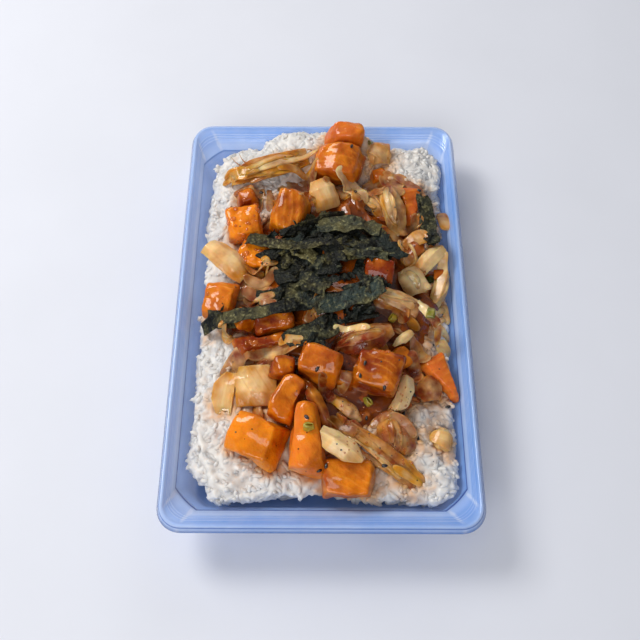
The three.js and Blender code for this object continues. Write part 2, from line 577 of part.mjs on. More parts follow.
// A sheet given a thickness: both faces have the same triangles, and a rim joins them.
function thickened(sheet, thickness, edge) {
  sheet.computeVertexNormals();
  const points = sheet.attributes.position;
  const normals = sheet.attributes.normal;
  const index = Array.from(sheet.index.array);
  const count = points.count;
  const open = new Map();
  for (let i = 0; i < index.length; i += 3) {
    for (const [from, to] of [[0, 1], [1, 2], [2, 0]]) {
      const [a, b] = [index[i + from], index[i + to]];
      if (!open.delete(`${b} ${a}`)) open.set(`${a} ${b}`, [a, b]);
    }
  }
  const onRim = new Set([...open.values()].flat());
  const faces = new Float32Array(count * 6);
  for (let i = 0; i < count; i += 1) {
    const half = thickness / 2 * (onRim.has(i) ? edge : 1);
    for (const [face, side] of [[0, half], [count, -half]]) {
      faces[(i + face) * 3] = points.getX(i) + normals.getX(i) * side;
      faces[(i + face) * 3 + 1] = points.getY(i) + normals.getY(i) * side;
      faces[(i + face) * 3 + 2] = points.getZ(i) + normals.getZ(i) * side;
    }
  }
  const triangles = [...index];
  for (let i = 0; i < index.length; i += 3) {
    triangles.push(index[i] + count, index[i + 2] + count, index[i + 1] + count);
  }
  for (const [a, b] of open.values()) {
    triangles.push(b, a, a + count);
    triangles.push(b, a + count, b + count);
  }
  const geometry = new THREE.BufferGeometry();
  geometry.setAttribute('position', new THREE.BufferAttribute(faces, 3));
  geometry.setIndex(triangles);
  return geometry;
}

function sliceGeometry(spec) {
  const columns = spec.size[0] > 12 ? 3 : 2;
  const rows = Math.max(3, Math.round(spec.size[1] / 7));
  return thickened(sliceSurface(spec, columns, rows), spec.size[2], SLICE_RIM);
}

// A nori sheet: laid over the heap, stiff enough to bridge its dips, and crinkled.
function noriGeometry(spec, seed) {
  const columns = Math.max(2, Math.round(spec.size[0] / 6));
  const rows = Math.round(spec.size[1] / 5);
  const sheet = sliceSurface(spec, columns, rows);
  const points = sheet.attributes.position;
  const heights = [];
  for (let i = 0; i < points.count; i += 1) {
    const [x, y] = [points.getX(i), points.getY(i)];
    let top = reliefAt(x, y);
    for (let k = 0; k < 8; k += 1) {
      const turn = k * Math.PI / 4;
      const near = reliefAt(x + NORI_REACH * Math.cos(turn), y + NORI_REACH * Math.sin(turn));
      top = Math.max(top, near - NORI_DIP);
    }
    heights.push(top + spec.lift);
  }
  const smooth = smoothed(heights, columns + 1, rows + 1);
  for (let i = 0; i < points.count; i += 1) {
    const crinkle = NORI_CRINKLE * ripple(points.getX(i) * 0.9, points.getY(i) * 0.9, seed);
    points.setZ(i, smooth[i] + crinkle);
  }
  return thickened(sheet, NORI_THICK, 1);
}

// Evens out a grid of heights, two passes over its neighbours.
function smoothed(heights, across, along) {
  let values = heights;
  for (let pass = 0; pass < 2; pass += 1) {
    values = values.map((value, i) => {
      const column = i % across;
      const row = Math.floor(i / across);
      const near = [value, value];
      if (column > 0) near.push(values[i - 1]);
      if (column < across - 1) near.push(values[i + 1]);
      if (row > 0) near.push(values[i - across]);
      if (row < along - 1) near.push(values[i + across]);
      return near.reduce((sum, z) => sum + z, 0) / near.length;
    });
  }
  return values;
}

const BED_COLUMNS = 20;

// The soaked bed: a lens with lumps whose underside is cut away by the rice.
function bedGeometry() {
  const last = 2 * BED_RINGS.length - 2;
  const skin = (u, v, target) => {
    const row = Math.round(v * last);
    const top = row >= BED_RINGS.length - 1;
    const share = BED_RINGS[top ? last - row : row];
    const angle = Math.round(u * BED_COLUMNS) % BED_COLUMNS / BED_COLUMNS * 2 * Math.PI;
    const wave = 1 + 0.07 * Math.sin(3 * angle + 1) + 0.05 * Math.sin(7 * angle + 2);
    const x = BED.x + share * BED.halfX * wave * Math.cos(angle);
    const y = BED.y + share * BED.halfY * wave * Math.sin(angle);
    const far = Math.hypot(x - BED_CROWN.x, y - BED_CROWN.y) / BED_CROWN.reach;
    const thick = BED.thick * (1 - 1.15 * share ** 3) + BED_CROWN.rise * Math.exp(-far * far * 1.5)
      + BED_LUMPS * ripple(x * 0.28, y * 0.28, 5);
    const under = BED_UNDER.middle * (1 - share ** 2) + BED_UNDER.rim;
    target.set(x, y, riceHeight(x, y) + (top ? thick : -under));
  };
  return new ParametricGeometry(skin, BED_COLUMNS, last);
}

// ---------------------------------------------------------------- putting it together

const joined = (shapes) => shapes.map(solidOf).reduce((all, solid) => all.add(solid));

const trayShape = trayGeometry();
const grownTray = solidOf(trayShape.clone().translate(0, 0, GAP));
const riceShapes = [riceGeometry(), ...RICE_SPILLS.map(pillowGeometry)];
const riceCore = largestBody(joined(riceShapes).subtract(grownTray));
const grownRice = joined(riceShapes.map((shape) => grown(shape, GAP)));
addToRelief(geometryOf(riceCore, new THREE.Vector3()), null);

// What is placed already, as bodies a little larger than they are: they trim what comes after.
const cutters = [];

function overlaps(a, b) {
  return a.min[0] < b.max[0] && a.max[0] > b.min[0] && a.min[1] < b.max[1]
    && a.max[1] > b.min[1] && a.min[2] < b.max[2] && a.max[2] > b.min[2];
}

function trimmed(solid) {
  let rest = solid.subtract(grownRice).subtract(grownTray);
  for (const cutter of cutters) {
    if (overlaps(rest.boundingBox(), cutter.box)) rest = rest.subtract(cutter.body);
  }
  return largestBody(rest);
}

const parts = [];

function addPart(name, kind, geometry, more = []) {
  const shapes = [geometry, ...more];
  const solid = trimmed(joined(shapes));
  const cutter = joined(shapes.map((shape) => grown(shape, GAP * 1.3)));
  const part = { name, kind, solid };
  parts.push(part);
  cutters.push({ body: cutter, box: cutter.boundingBox() });
  const outside = geometryOf(solid, new THREE.Vector3());
  addToRelief(outside, part);
}

function bedSlices() {
  return BED_SLICES.map(([x, y, width, length, yaw], i) => {
    const spec = { at: [x, y], size: [width, length, BED_SLICE_THICK], tips: [0.6, 0.5], bend: 1.5,
      cup: 1.2, arc: 1, lean: 6 * (i % 3), roll: 0, yaw };
    const slice = thickened(sliceSurface(spec, 2, 2), BED_SLICE_THICK, 0.6);
    slice.translate(0, 0, riceHeight(x, y) + BED.thick + 0.3);
    return slice;
  });
}

addPart('onion_bed', 'bed', bedGeometry(), bedSlices());
SLICES_LOW.forEach((spec) => addPart(spec.name, spec.kind, settle(sliceGeometry(spec), REST.lowSlice)));
SALMON_LOW.forEach((spec, i) => {
  addPart(spec.name, 'salmon', settle(blockGeometry(spec, SEED + i), REST.salmon));
});
SALMON_HIGH.forEach((spec, i) => {
  addPart(spec.name, 'salmon', settle(blockGeometry(spec, SEED_HIGH + i), REST.salmon));
});
SLICES_HIGH.forEach((spec) => addPart(spec.name, spec.kind, settle(sliceGeometry(spec), REST.slice)));
NORI.forEach((spec, i) => addPart(spec.name, 'nori', noriGeometry(spec, i)));

// Fuses a loose bit to the part that carries it, where it stays clear of the others.
function fuseBit(geometry, part) {
  const bit = solidOf(geometry);
  const reach = solidOf(grown(geometry, GAP));
  const others = parts.filter((other) => other !== part).map((other) => other.solid);
  if (![...others, riceCore, grownTray].every((other) => reach.intersect(other).isEmpty())) return;
  const fused = part.solid.add(bit);
  if (fused.decompose().length === 1) part.solid = fused;
}

function scatterBits(spots, size, sides) {
  const random = randomFrom(SEED);
  for (const [x, y] of spots) {
    const part = carrier[cellAt(x, y)];
    if (!part) continue;
    const bit = new THREE.SphereGeometry(0.5, sides, 3);
    bit.scale(...size);
    bit.rotateZ(random() * Math.PI);
    bit.translate(x, y, reliefAt(x, y) + size[2] * 0.1);
    fuseBit(bit, part);
  }
}

scatterBits(SEED_SPOTS, SEED_SIZE, 4);
scatterBits(CHIP_SPOTS, CHIP_SIZE, 6);

// Rice grains half sunk in the core, spread evenly and only where nothing covers them.
function riceWithGrains() {
  const random = randomFrom(SEED);
  const covered = parts.map((part) => ({ body: part.solid, box: part.solid.boundingBox() }));
  let rice = riceCore;
  let laid = 0;
  const taken = [];
  for (let tries = 0; tries < GRAIN_TRIES && laid < GRAIN.count; tries += 1) {
    const x = (random() * 2 - 1) * RICE_X;
    const y = (random() * 2 - 1) * RICE_Y;
    const yaw = random() * Math.PI;
    const tilt = (random() - 0.5) * GRAIN.tilt;
    if (carrier[cellAt(x, y)] || reliefAt(x, y) < RICE_EDGE_Z - 3) continue;
    if (taken.some(([p, q]) => Math.hypot(p - x, q - y) < GRAIN.apart)) continue;
    const shape = grainGeometry(x, y, reliefAt(x, y) + GRAIN.lift, yaw, tilt);
    const reach = solidOf(grown(shape, GAP));
    const box = reach.boundingBox();
    const meets = (other) => overlaps(box, other.box) && !reach.intersect(other.body).isEmpty();
    if (covered.some(meets) || !reach.intersect(grownTray).isEmpty()) continue;
    rice = rice.add(solidOf(shape));
    taken.push([x, y]);
    laid += 1;
  }
  return largestBody(rice);
}

parts.push({ name: 'rice', kind: 'rice', solid: riceWithGrains() });
parts.push({ name: 'tray', kind: 'tray', solid: solidOf(trayShape) });

function meshOf(part) {
  const box = part.solid.boundingBox();
  const resting = part.kind === 'tray' || part.kind === 'rice';
  const origin = new THREE.Vector3();
  if (!resting) origin.set((box.min[0] + box.max[0]) / 2, (box.min[1] + box.max[1]) / 2, box.min[2]);
  const finish = new THREE.MeshStandardMaterial(COLOURS[part.kind]);
  const mesh = new THREE.Mesh(geometryOf(part.solid, origin), finish);
  mesh.name = part.name;
  mesh.position.copy(origin);
  return mesh;
}

const bowl = new THREE.Group();
for (const kind of Object.keys(COLOURS)) {
  const group = new THREE.Group();
  parts.filter((part) => part.kind === kind).forEach((part) => group.add(meshOf(part)));
  bowl.add(group);
}

export default bowl;
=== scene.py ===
import math
import random
from typing import NamedTuple

import bmesh
import bpy
import numpy as np
from mathutils import Matrix, Vector, noise
from mathutils.bvhtree import BVHTree


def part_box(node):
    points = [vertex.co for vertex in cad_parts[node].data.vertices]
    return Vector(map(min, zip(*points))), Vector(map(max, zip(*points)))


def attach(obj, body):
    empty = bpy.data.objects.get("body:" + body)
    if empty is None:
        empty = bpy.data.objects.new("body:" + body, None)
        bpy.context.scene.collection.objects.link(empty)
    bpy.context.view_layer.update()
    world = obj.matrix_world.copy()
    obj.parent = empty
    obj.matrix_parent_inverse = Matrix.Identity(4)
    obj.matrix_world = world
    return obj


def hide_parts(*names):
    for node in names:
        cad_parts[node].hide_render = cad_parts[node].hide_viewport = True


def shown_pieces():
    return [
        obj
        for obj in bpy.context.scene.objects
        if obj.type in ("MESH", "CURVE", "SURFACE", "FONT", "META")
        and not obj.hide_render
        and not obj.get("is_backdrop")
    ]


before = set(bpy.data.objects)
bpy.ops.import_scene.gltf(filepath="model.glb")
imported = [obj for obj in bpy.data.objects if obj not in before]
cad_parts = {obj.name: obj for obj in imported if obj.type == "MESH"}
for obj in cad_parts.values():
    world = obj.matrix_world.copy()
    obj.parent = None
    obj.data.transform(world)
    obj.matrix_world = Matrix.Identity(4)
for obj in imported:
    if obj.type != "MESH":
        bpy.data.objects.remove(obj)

# Poke bowl in a takeaway tray: rice, soaked onion, dressed salmon, onion and stem slices, nori.
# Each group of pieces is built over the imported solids. The scene is in metres, and the measures
# below are in millimetres where they say nothing else.

bl_info = {
    "name": "Poke Bowl",
    "version": (1, 0, 0),
    "blender": (4, 5, 0),
    "location": "View3D > Sidebar > Poke Bowl",
    "description": "Builds the rice, toppings, tray and stage of a poke bowl",
    "category": "Object",
}

MM = 0.001
SEED = 11
BODY = "root"
UP = Vector((0, 0, 1))
DOWN = Vector((0, 0, -1))
TOPPINGS = ("bed", "sauce", "salmon", "stem", "onion", "nori")
SLICE_VALUES = ("along", "across", "edge", "ripe", "soaked", "blush")

# ---------------------------------------------------------------- kinds of measures

class TrayLevel(NamedTuple):
    """A level that the tray's sheet runs through, from its floor to its lip.

    It has how far in from the lip the sheet's upper face lies, its height over the underside, the
    corner's radius, and how round the corner is, from 0 for a straight cut to 1 for an arc.
    wall says how much of the wall colour it takes, a colour kept pale as painted light that lifts the
    shade in the deep gap by the walls; line how much of the dark fold line runs along it, painted
    shade where a fold is seen edge-on through the plastic; and pale how much painted light it takes:
    highlights on the lip and the ridges, and light that lifts the shade on the floor and walls.
    """
    inset_x: float
    inset_y: float
    z: float
    corner: float
    arc: float
    wall: float
    line: float
    pale: float


class SalmonLooks(NamedTuple):
    """How a piece of salmon looks: its tone from dark 0 to bright 1, partly its own tone and partly
    painted shade on pieces that lie in shade, its share of pale fat, the turn of the fat's stripes on
    plan in degrees, how pink it is, partly paler flesh and partly a painted reflection of the light on
    its top, how many drops of sauce sit on it, and how lumpy its glaze is."""
    tone: float
    fat: float
    turn: float
    pink: float = 0.0
    beads: int = 0
    bumps: float = 0.1


class SliceLooks(NamedTuple):
    """How a slice looks: ripe runs from white 0 to amber 1, soaked from clean 0 to brown 1, and
    blush says how purplish it is. It is smoothed so many times, carries so many thin strands,
    and its body is trimmed by so much to make room for them."""
    ripe: float
    soaked: float
    blush: float = None
    smooth: int = 4
    strands: int = 0
    trim: float = 0.35


class Oval(NamedTuple):
    """An oval on plan: its middle, and half its width and depth."""
    x: float
    y: float
    half_x: float
    half_y: float

    def spot(self, rng):
        """A random spot in it."""
        turn, reach = rng.uniform(0, math.tau), rng.uniform(0, 1) ** 0.5
        return self.x + self.half_x * reach * math.cos(turn), self.y + self.half_y * reach * math.sin(turn)

    def holds(self, x, y):
        return math.hypot((x - self.x) / self.half_x, (y - self.y) / self.half_y) < 1


class Strewn(NamedTuple):
    """How strips are strewn: the least and most of their length, lift and width, and their roll."""
    length: tuple
    lift: tuple
    width: tuple
    roll: float


# ---------------------------------------------------------------- measures, in millimetres

# The tray's sheet. The brim slopes between two heights: there each corner has painted light on its
# creases and painted shade on the facets between them, as they catch the light differently. The dark
# fold line, painted shade where a fold is seen edge-on through the plastic, fades towards the back.
TRAY_SHEET = 0.8
TRAY_CORNER_STEPS = 10
TRAY_RIDGES = 3
BRIM_FROM = 18
BRIM_TO = 25.5
CREASE_PAINTED_LIGHT = 0.9
FACET_PAINTED_SHADE = 0.35
LINE_FADE = 0.6
# pale on the floor, foot and steps is painted light that lifts the shade in the deep gap, and pale 1 on
# the outer fold is the painted highlight along the lip.
TRAY_LEVELS = [
    TrayLevel(12.75, 18.5, 0.9, 7.0, 0.5, wall=0.6, line=0, pale=0.4),
    TrayLevel(11.45, 17.2, 2.4, 7.4, 0.4, wall=1.0, line=0, pale=0.3),
    TrayLevel(8.95, 14.3, 11.4, 8.6, 0.3, wall=1.0, line=0, pale=0.3),
    TrayLevel(7.85, 13.2, 12.0, 9.0, 0.3, wall=0.7, line=0, pale=0.3),
    TrayLevel(6.25, 11.2, 18.0, 9.5, 0.2, wall=0.5, line=0.95, pale=0),
    TrayLevel(2.65, 2.6, 25.8, 8.4, 1.0, wall=0, line=0, pale=0.5),
    TrayLevel(1.55, 1.5, 26.0, 9.2, 1.0, wall=0, line=0, pale=1),
    TrayLevel(0.0, 0.0, 23.0, 10.6, 1.0, wall=0, line=0.5, pale=0),
]

# Widths of the even quads that each surface is remeshed in.
SALMON_VOXEL = 0.75
SLICE_VOXEL = 0.55
BED_VOXEL = 0.75
RICE_VOXEL = 1.5
CLUMP_VOXEL = 0.83
FILM_VOXEL = 1.3

# Notches in the steep sides of the heap, then stripes of fat, cuts and glaze on the salmon, and
# how far each of its loose bits is turned past the last, in degrees.
NOTCH_WAVE = 8
NOTCH_DEPTH = 8
NOTCH_LEVEL = 0.8
FAT_PITCH = 3.6
FAT_RISE = 0.1
FAT_SLOPE = 0.35
FAT_DRIFT = 2.4
FAT_DRIFT_WAVE = 11
SALMON_CUTS = 4
CUT_REACH = (0.84, 0.94)
GLAZE_WAVE = 2.4
GLAZE_DEPTH = 0.5
BIT_TURN = 40

# Strips and strands: each follows a line of stations that settles on what lies under it.
STATIONS = 21
SETTLING = 10
STRIP_BOW = 3
STRIP_PRESS = 1.2
RAGGED = 0.25
RAGGED_WAVE = 7
OPEN_HEIGHT = 20
SMALL_SLICE_THICK = 1.8
SMALL_SLICE_LIFT = 0.4
SMALL_SLICE_CUP = 0.12
BED_CUP = 0.05
GAP_CUP = (0.05, 0.3)
STRAND_CUP = (0.05, 0.25)
STRAND_LIFT = (-0.5, 0.9)
STRAND_WIDTH = (2.6, 4.8)
STRAND_ROLL = 35

# The onion's thin tails: their radii at the root and at the tip, and their sway.
TAIL_RADII = (0.7, 0.1)
TAIL_SWAY = 1.5

# Nori: torn edges, curl, lift and thickness, and the least and most length and width of a flake.
TEAR_WAVE = 1.7
TEAR_DEPTH = 0.7
FLAKE_CURL = 3.0
RIBBON_WAVE = 0.9
RIBBON_LIFT = 1.2
RIBBON_PRESS = 0.2
LARGE_FLAKE = ((10, 22), (5, 11))
SMALL_FLAKE = ((4, 10), (2, 5))
FLAKE_THICK = 0.3
RIBBON_THICK = 0.35

# Drops of sauce on the salmon and bubbles in the film: how flat they are for their width, the
# least and most of their size, and how far a drop is drawn out.
BEAD_FLAT = 0.45
BEAD_SIZE = (1.2, 3.2)
BEAD_STRETCH = (0.8, 1.5)
BUBBLE_SIZE = (0.6, 1.3)

# The most skins over a point that are counted to tell whether it lies inside a piece.
SKINS = 14

# Seeds, and the finer specks with their middle and spread on plan.
SEED_LIFT = 0.25
SEED_TAPER = 0.35
SEED_SCALE = (0.85, 1.15)
SPECKS = 90
SPECK_SPREAD = ((6, 22), (-8, 42))
SPECK_SIZE = (0.5, 1.0)
SPECK_FLAT = 0.7

# Rings of spring onion: how flat and how long they are for their size, their wall and their lift.
CHIP_FLAT = 0.55
CHIP_WALL = 0.7
CHIP_LENGTH = 0.6
CHIP_LIFT = 0.6

# The relief of each surface: pairs of a wave's length and its depth.
HEAP_WAVES = [(12, 2.0), (5, 1.0)]
BED_WAVES = [(8, 0.5), (3.5, 0.4)]
FILM_WAVES = [(12, 0.9), (5, 0.4)]
SALMON_WAVES = [(12, 1.8), (5, 0.5)]
BIT_WAVES = [(7, 0.8), (3, 0.4)]
SLICE_WAVES = [(10, 0.7), (4, 0.2)]
STRIP_WAVES = [(5, 0.5)]
CHIP_WAVES = [(3, 0.5), (1.2, 0.12)]
SHEET_CRUMPLE = [(9, 1.6), (4, 0.6), (1.5, 0.15)]
FLAKE_CRUMPLE = [(4, 0.6), (1.4, 0.15)]
RIBBON_CRUMPLE = [(3, 0.35), (1.4, 0.15)]

# tone is partly each piece's own tone and partly painted shade: pieces lying in shade, such as the one
# under the nori, take a low tone. pink is partly paler flesh and partly a painted reflection of the light
# on the tops.
SALMON = {
    "salmon_back_small": SalmonLooks(0.5, 0.2, 20),
    "salmon_left_back": SalmonLooks(0.35, 0.2, 10, beads=4),
    "salmon_under_nori": SalmonLooks(0.0, 0.1, 60),
    "salmon_left_long": SalmonLooks(0.25, 0.3, 80, beads=6),
    "salmon_left_strip": SalmonLooks(0.2, 0.2, 70, beads=14, bumps=0.6),
    "salmon_mid_small": SalmonLooks(0.15, 0.2, 30),
    "salmon_left_edge": SalmonLooks(0.5, 0.5, 50, pink=0.3, beads=2),
    "salmon_back_peak": SalmonLooks(0.45, 0.4, 100, pink=0.8),
    "salmon_back_block": SalmonLooks(0.45, 0.45, 75, pink=0.25, beads=3),
    "salmon_ribbed": SalmonLooks(0.5, 0.8, -14),
    "salmon_left_beaded": SalmonLooks(0.7, 0.1, 30, beads=26, bumps=1.0),
    "salmon_left_front": SalmonLooks(0.9, 0.1, 120, beads=26, bumps=1.0),
    "salmon_right_back": SalmonLooks(0.1, 0.5, 110, pink=0.7),
    "salmon_middle": SalmonLooks(0.35, 0.25, 70, pink=0.3),
    "salmon_mid_right": SalmonLooks(0.2, 0.7, 60, beads=3),
    "salmon_slab": SalmonLooks(0.35, 0.2, 40),
    "salmon_right_edge": SalmonLooks(0.3, 0.6, 120, pink=1.0),
    "salmon_front_long": SalmonLooks(0.32, 0.35, 60),
    "salmon_front_left": SalmonLooks(0.85, 0.15, 55),
    "salmon_front_tall": SalmonLooks(0.85, 0.35, 15, pink=0.7),
    "salmon_front_edge": SalmonLooks(0.5, 0.8, 65, pink=0.3),
}

# Slices of stem are cream to yellow, slices of onion brown and clearer.
SLICES = {
    "stem_left_petal": SliceLooks(0.35, 0.12, smooth=2),
    "stem_left_folded": SliceLooks(0.5, 0.05, smooth=2),
    "stem_square": SliceLooks(0.65, 0.1, smooth=2),
    "stem_back_wedge": SliceLooks(0.35, 0.1, smooth=2),
    "stem_right_diamond": SliceLooks(0.15, 0.15, blush=0.2, smooth=2, strands=2),
    "stem_right_pale": SliceLooks(0.1, 0.1, blush=0.1, smooth=2, strands=2),
    "stem_right_tip": SliceLooks(0.1, 0.15, blush=0.15, smooth=2),
    "stem_ridged": SliceLooks(0.3, 0.6, smooth=2, strands=2),
    "stem_white_strip": SliceLooks(-0.2, 0.05),
    "stem_small_oval": SliceLooks(0.0, 0.05),
    "stem_right_chunk": SliceLooks(0.6, 0.75),
    "stem_right_triangle": SliceLooks(0.35, 0.2, smooth=1),
    "stem_curled": SliceLooks(-0.15, 0.05),
    "stem_cream_petal": SliceLooks(0.1, 0.1, smooth=2),
    "onion_back_sheaf": SliceLooks(0.9, 0.35, strands=14, trim=1.3),
    "onion_left_sheet": SliceLooks(0.6, 0.6, strands=3),
    "onion_left_arc": SliceLooks(0.8, 0.9),
    "onion_brown_wide": SliceLooks(0.7, 0.95, strands=3),
    "onion_brown_front": SliceLooks(0.6, 0.7, blush=0.8, strands=3),
    "onion_right_strip": SliceLooks(0.5, 0.55),
    "onion_back_chunk": SliceLooks(0.4, 0.3, strands=2),
    "stem_right_petal_back": SliceLooks(0.45, 0.4, strands=3),
    "stem_right_petal": SliceLooks(0.4, 0.5, strands=4),
    "onion_front_diagonal": SliceLooks(1.0, 0.8),
    "onion_mid_sliver": SliceLooks(0.5, 0.35),
    "onion_front_long": SliceLooks(0.8, 0.7),
}

# How blue each sheet of nori is, and how light: the lightness mixes the nori's own tone with painted
# light and shade, lighter on the lit crown and darker on sheets in shade.
NORI = {
    "nori_front_dark": (0.2, -0.2),
    "nori_front_torn": (0.4, 0.2),
    "nori_left_patch": (0.4, 0.15),
    "nori_left_strip": (0.1, 0.3),
    "nori_dark_patch": (0.15, -0.7),
    "nori_crown": (0.2, 0.9),
    "nori_blue_strip": (0.9, 0.35),
    "nori_back_strip": (0.1, 0.4),
    "nori_back_edge": (0.1, -0.1),
    "nori_right_strip": (0.5, 0.3),
}

# Small slices laid on the heap: route on plan, width, roll in degrees, then how ripe, soaked and
# purplish each is.
SMALL_SLICES = [
    ([(5, -19), (21, -21)], 3.5, 10, 0.1, 0.1, 0.0),
    ([(39, -21), (47, -30)], 7, 0, 0.4, 0.45, 0.4),
    ([(52, -17), (57, -24)], 7, 10, 0.2, 0.15, 0.1),
    ([(46, -13), (52, -19)], 4, 0, 0.7, 0.8, 0.2),
    ([(38, -27), (43, -39)], 6, 20, 0.5, 0.9, 0.6),
    ([(3, -57), (24, -71), (43, -84)], 6, 10, 0.7, 0.5, 0.3),
    ([(2, -61), (17, -72), (30, -82)], 3, 40, 0.6, 0.5, 0.1),
    ([(6, -60), (20, -72), (33, -83)], 3, -30, 0.4, 0.3, 0.0),
    ([(28, -57), (34, -61), (39, -66)], 6, 30, 0.4, 0.5, 0.9),
    ([(21, -61), (26, -57), (32, -56)], 4, 0, 0.5, 0.7, 0.6),
    ([(34, -76), (41, -84)], 5.5, 0, 1.0, 0.1, 0.0),
    ([(29, -79), (42, -85)], 4, 10, 0.9, 0.1, 0.0),
    ([(44, 48), (47, 42)], 4.5, 0, 0.4, 0.6, 0.9),
    ([(39, 30), (50, 37)], 8, 10, 0.7, 0.4, 0.1),
    ([(36, 38), (48, 47)], 7, 0, 0.5, 0.6, 0.8),
    ([(36, 12), (45, 23), (41, 33)], 2.5, 50, 0.2, 0.1, 0.1),
    ([(35, 21), (42, 25)], 8, 0, 0.4, 0.4, 0.5),
    ([(58, 54), (61, 44)], 6, 0, 0.4, 0.5, 0.3),
    ([(57, 28), (56, 14), (52, 2)], 5, 15, 0.15, 0.25, 0.2),
    ([(47, -13), (57, -3)], 3, 0, 0.3, 0.3, 0.2),
    ([(49, -16), (57, -10)], 3, 0, 0.1, 0.2, 0.1),
    ([(53, -8), (58, -15)], 3, 0, 0.1, 0.2, 0.1),
    ([(57, 4), (58, -6)], 3, 0, 0.2, 0.3, 0.1),
    ([(50, -4), (57, 2)], 3, 0, 0.3, 0.4, 0.2),
    ([(34, -10), (39, -11)], 5, 0, 0.7, 0.7, 0.2),
    ([(-46, 71), (-28, 78), (-8, 85)], 4, 20, 0.9, 0.3, 0.3),
    ([(-45, 67), (-30, 73), (-15, 81)], 4.5, -15, 0.8, 0.2, 0.1),
    ([(-40, 75), (-22, 81), (-5, 84)], 3.5, 25, 0.5, 0.5, 0.5),
    ([(-38, 68), (-20, 74), (-2, 82)], 4, 0, 0.2, 0.3, 0.3),
    ([(-44, 77), (-33, 80), (-24, 80)], 3, 0, 0.5, 0.6, 0.6),
    ([(-50, 70), (-40, 69), (-30, 70)], 4, 0, 0.8, 0.1, 0.0),
    ([(-44, 64), (-34, 60), (-28, 62)], 5, 10, 0.5, 0.6, 0.6),
    ([(-22, 66), (-14, 58), (-10, 48)], 5, -10, 0.4, 0.6, 0.7),
    ([(24, 66), (30, 60), (35, 53)], 5, 0, 0.4, 0.6, 0.5),
    ([(20, 62), (30, 58), (40, 60)], 5, 10, 0.4, 0.6, 0.5),
    ([(34, 74), (44, 66), (50, 56)], 5, -10, 0.4, 0.6, 0.7),
    ([(-47, 70), (-36, 68)], 7, 0, 0.9, 0.1, 0.0),
    ([(-22, 66), (-3, 70)], 7, 0, 0.3, 0.6, 0.9),
    ([(-30, 65), (-31, 52)], 5, 20, 0.3, 0.6, 0.9),
    ([(-26, 65), (-26, 52)], 4, -20, 0.4, 0.6, 0.7),
    ([(8, 69), (21, 54)], 10, 0, -0.1, 0.25, 0.5),
    ([(-36, 11), (-28, 8), (-20, 12)], 5, 15, 0.4, 0.5, 0.8),
    ([(-37, 6), (-30, 3), (-22, 4)], 6, 5, 0.3, 0.6, 0.9),
    ([(-36, 2), (-29, -2), (-21, 0)], 5, -10, 0.4, 0.5, 0.7),
    ([(-35, -4), (-28, -7), (-20, -6)], 5, 15, 0.5, 0.6, 0.8),
    ([(-36, 16), (-28, 13), (-20, 16)], 4, -15, 0.5, 0.4, 0.5),
    ([(-27, 17), (-24, 12)], 3.5, 0, 0.7, 0.0, 0.0),
    ([(-19, -24), (-8, -26)], 5, 0, 0.5, 0.3, 0.1),
    ([(-45, -14), (-39, -21)], 5, 0, 0.7, 0.4, 0.2),
    ([(-44, -36), (-36, -28), (-24, -26)], 8, 5, 0.4, 0.6, 0.7),
    ([(-40, -30), (-24, -27), (-9, -29)], 7, 0, 0.5, 0.7, 0.7),
    ([(0, -44), (5, -51)], 5, 0, 0.5, 0.9, 0.3),
    ([(8, -47), (13, -38)], 5, 0, 0.5, 0.9, 0.3),
    ([(23, 86), (33, 81)], 8, 0, 0.2, 0.35, 0.4),
    ([(20, 66), (30, 71)], 8, 0, 0.5, 0.6, 0.6),
    ([(29, 73), (39, 64)], 8, 0, 0.4, 0.6, 0.7),
    ([(-22, 71), (-2, 74)], 4, 10, 0.6, 0.3, 0.2),
    ([(0, 63), (15, 60)], 6, 0, 0.4, 0.7, 0.4),
    ([(46, -63), (56, -67)], 7, 0, 0.5, 0.05, 0.0),
    ([(-12, 60), (-6, 50)], 5, 0, 0.5, 0.8, 0.4),
]

# Rings of spring onion: middle on plan, size across, greenness, and tip in degrees.
CHIPS = [
    ((50.3, 15.5), 4.6, 1.0, 75),
    ((47.5, -13.5), 5.6, 0.7, 80),
    ((19.6, -49.8), 5.0, 0.45, 25),
    ((-5.1, -67.5), 5.0, 0.3, 35),
    ((31.3, -10.6), 4.6, 0.2, 60),
    ((24, 92), 4.0, 0.7, 70),
]

# Loose bits of salmon: middle on plan, size, and tone, the same mix of own tone and painted shade as
# on the large pieces.
SALMON_BITS = [
    ((52.5, 16.5), 5, 0.4),
    ((-34, -13), 8, 0.45),
    ((10, -42), 7, 0.3),
]

# Black seeds: their size, and where they lie on plan.
SEED_SIZE = (2.5, 1.7, 1.2)
SEED_SPOTS = [
    (14, 79), (16, 59), (47, 61), (-30, 62), (16, -45), (18, -40),
    (-2, -43), (-6, -64), (19, -57), (26, -50), (35, -55), (40, -45),
    (41, -65), (26, -79), (2, -81), (-1, -82), (55, -49), (50, -19),
]

# Grains of rice, and how close they lie. The sauce spreads further on the right of the heap.
GRAIN_LENGTH = 6.4
GRAIN_WIDTH = 2.5
GRAIN_HEIGHT = 2.2
GRAIN_BEND = 0.5
GRAIN_KINDS = 6
GRAIN_TILT = 16
GRAIN_BLUNT = (1.05, 1.3)
GRAIN_SIZE = (0.82, 1.12)
GRAIN_JITTER = (-0.3, 0.5)
GRAIN_SHARES = (-0.48, -0.3, -0.12, 0.12, 0.3, 0.48)
BURIED = 3
LOOSE_APART = 0.95
LOOSE_LIFT = 0.05
# The hollow depth given to the loose grains sets how much painted shade they take.
LOOSE_GRAIN_SHADE = -0.05
STAIN_RIGHT = 1.5
STAIN_RIGHT_FROM = 20

# Thin ends of the onion sheaf: where each starts on plan, its length, rise and turn.
TAILS = [
    ((-40, 79), 11, 5, 165),
    ((-41, 75), 9, 3, 185),
    ((-38, 82), 8, 4, 150),
]

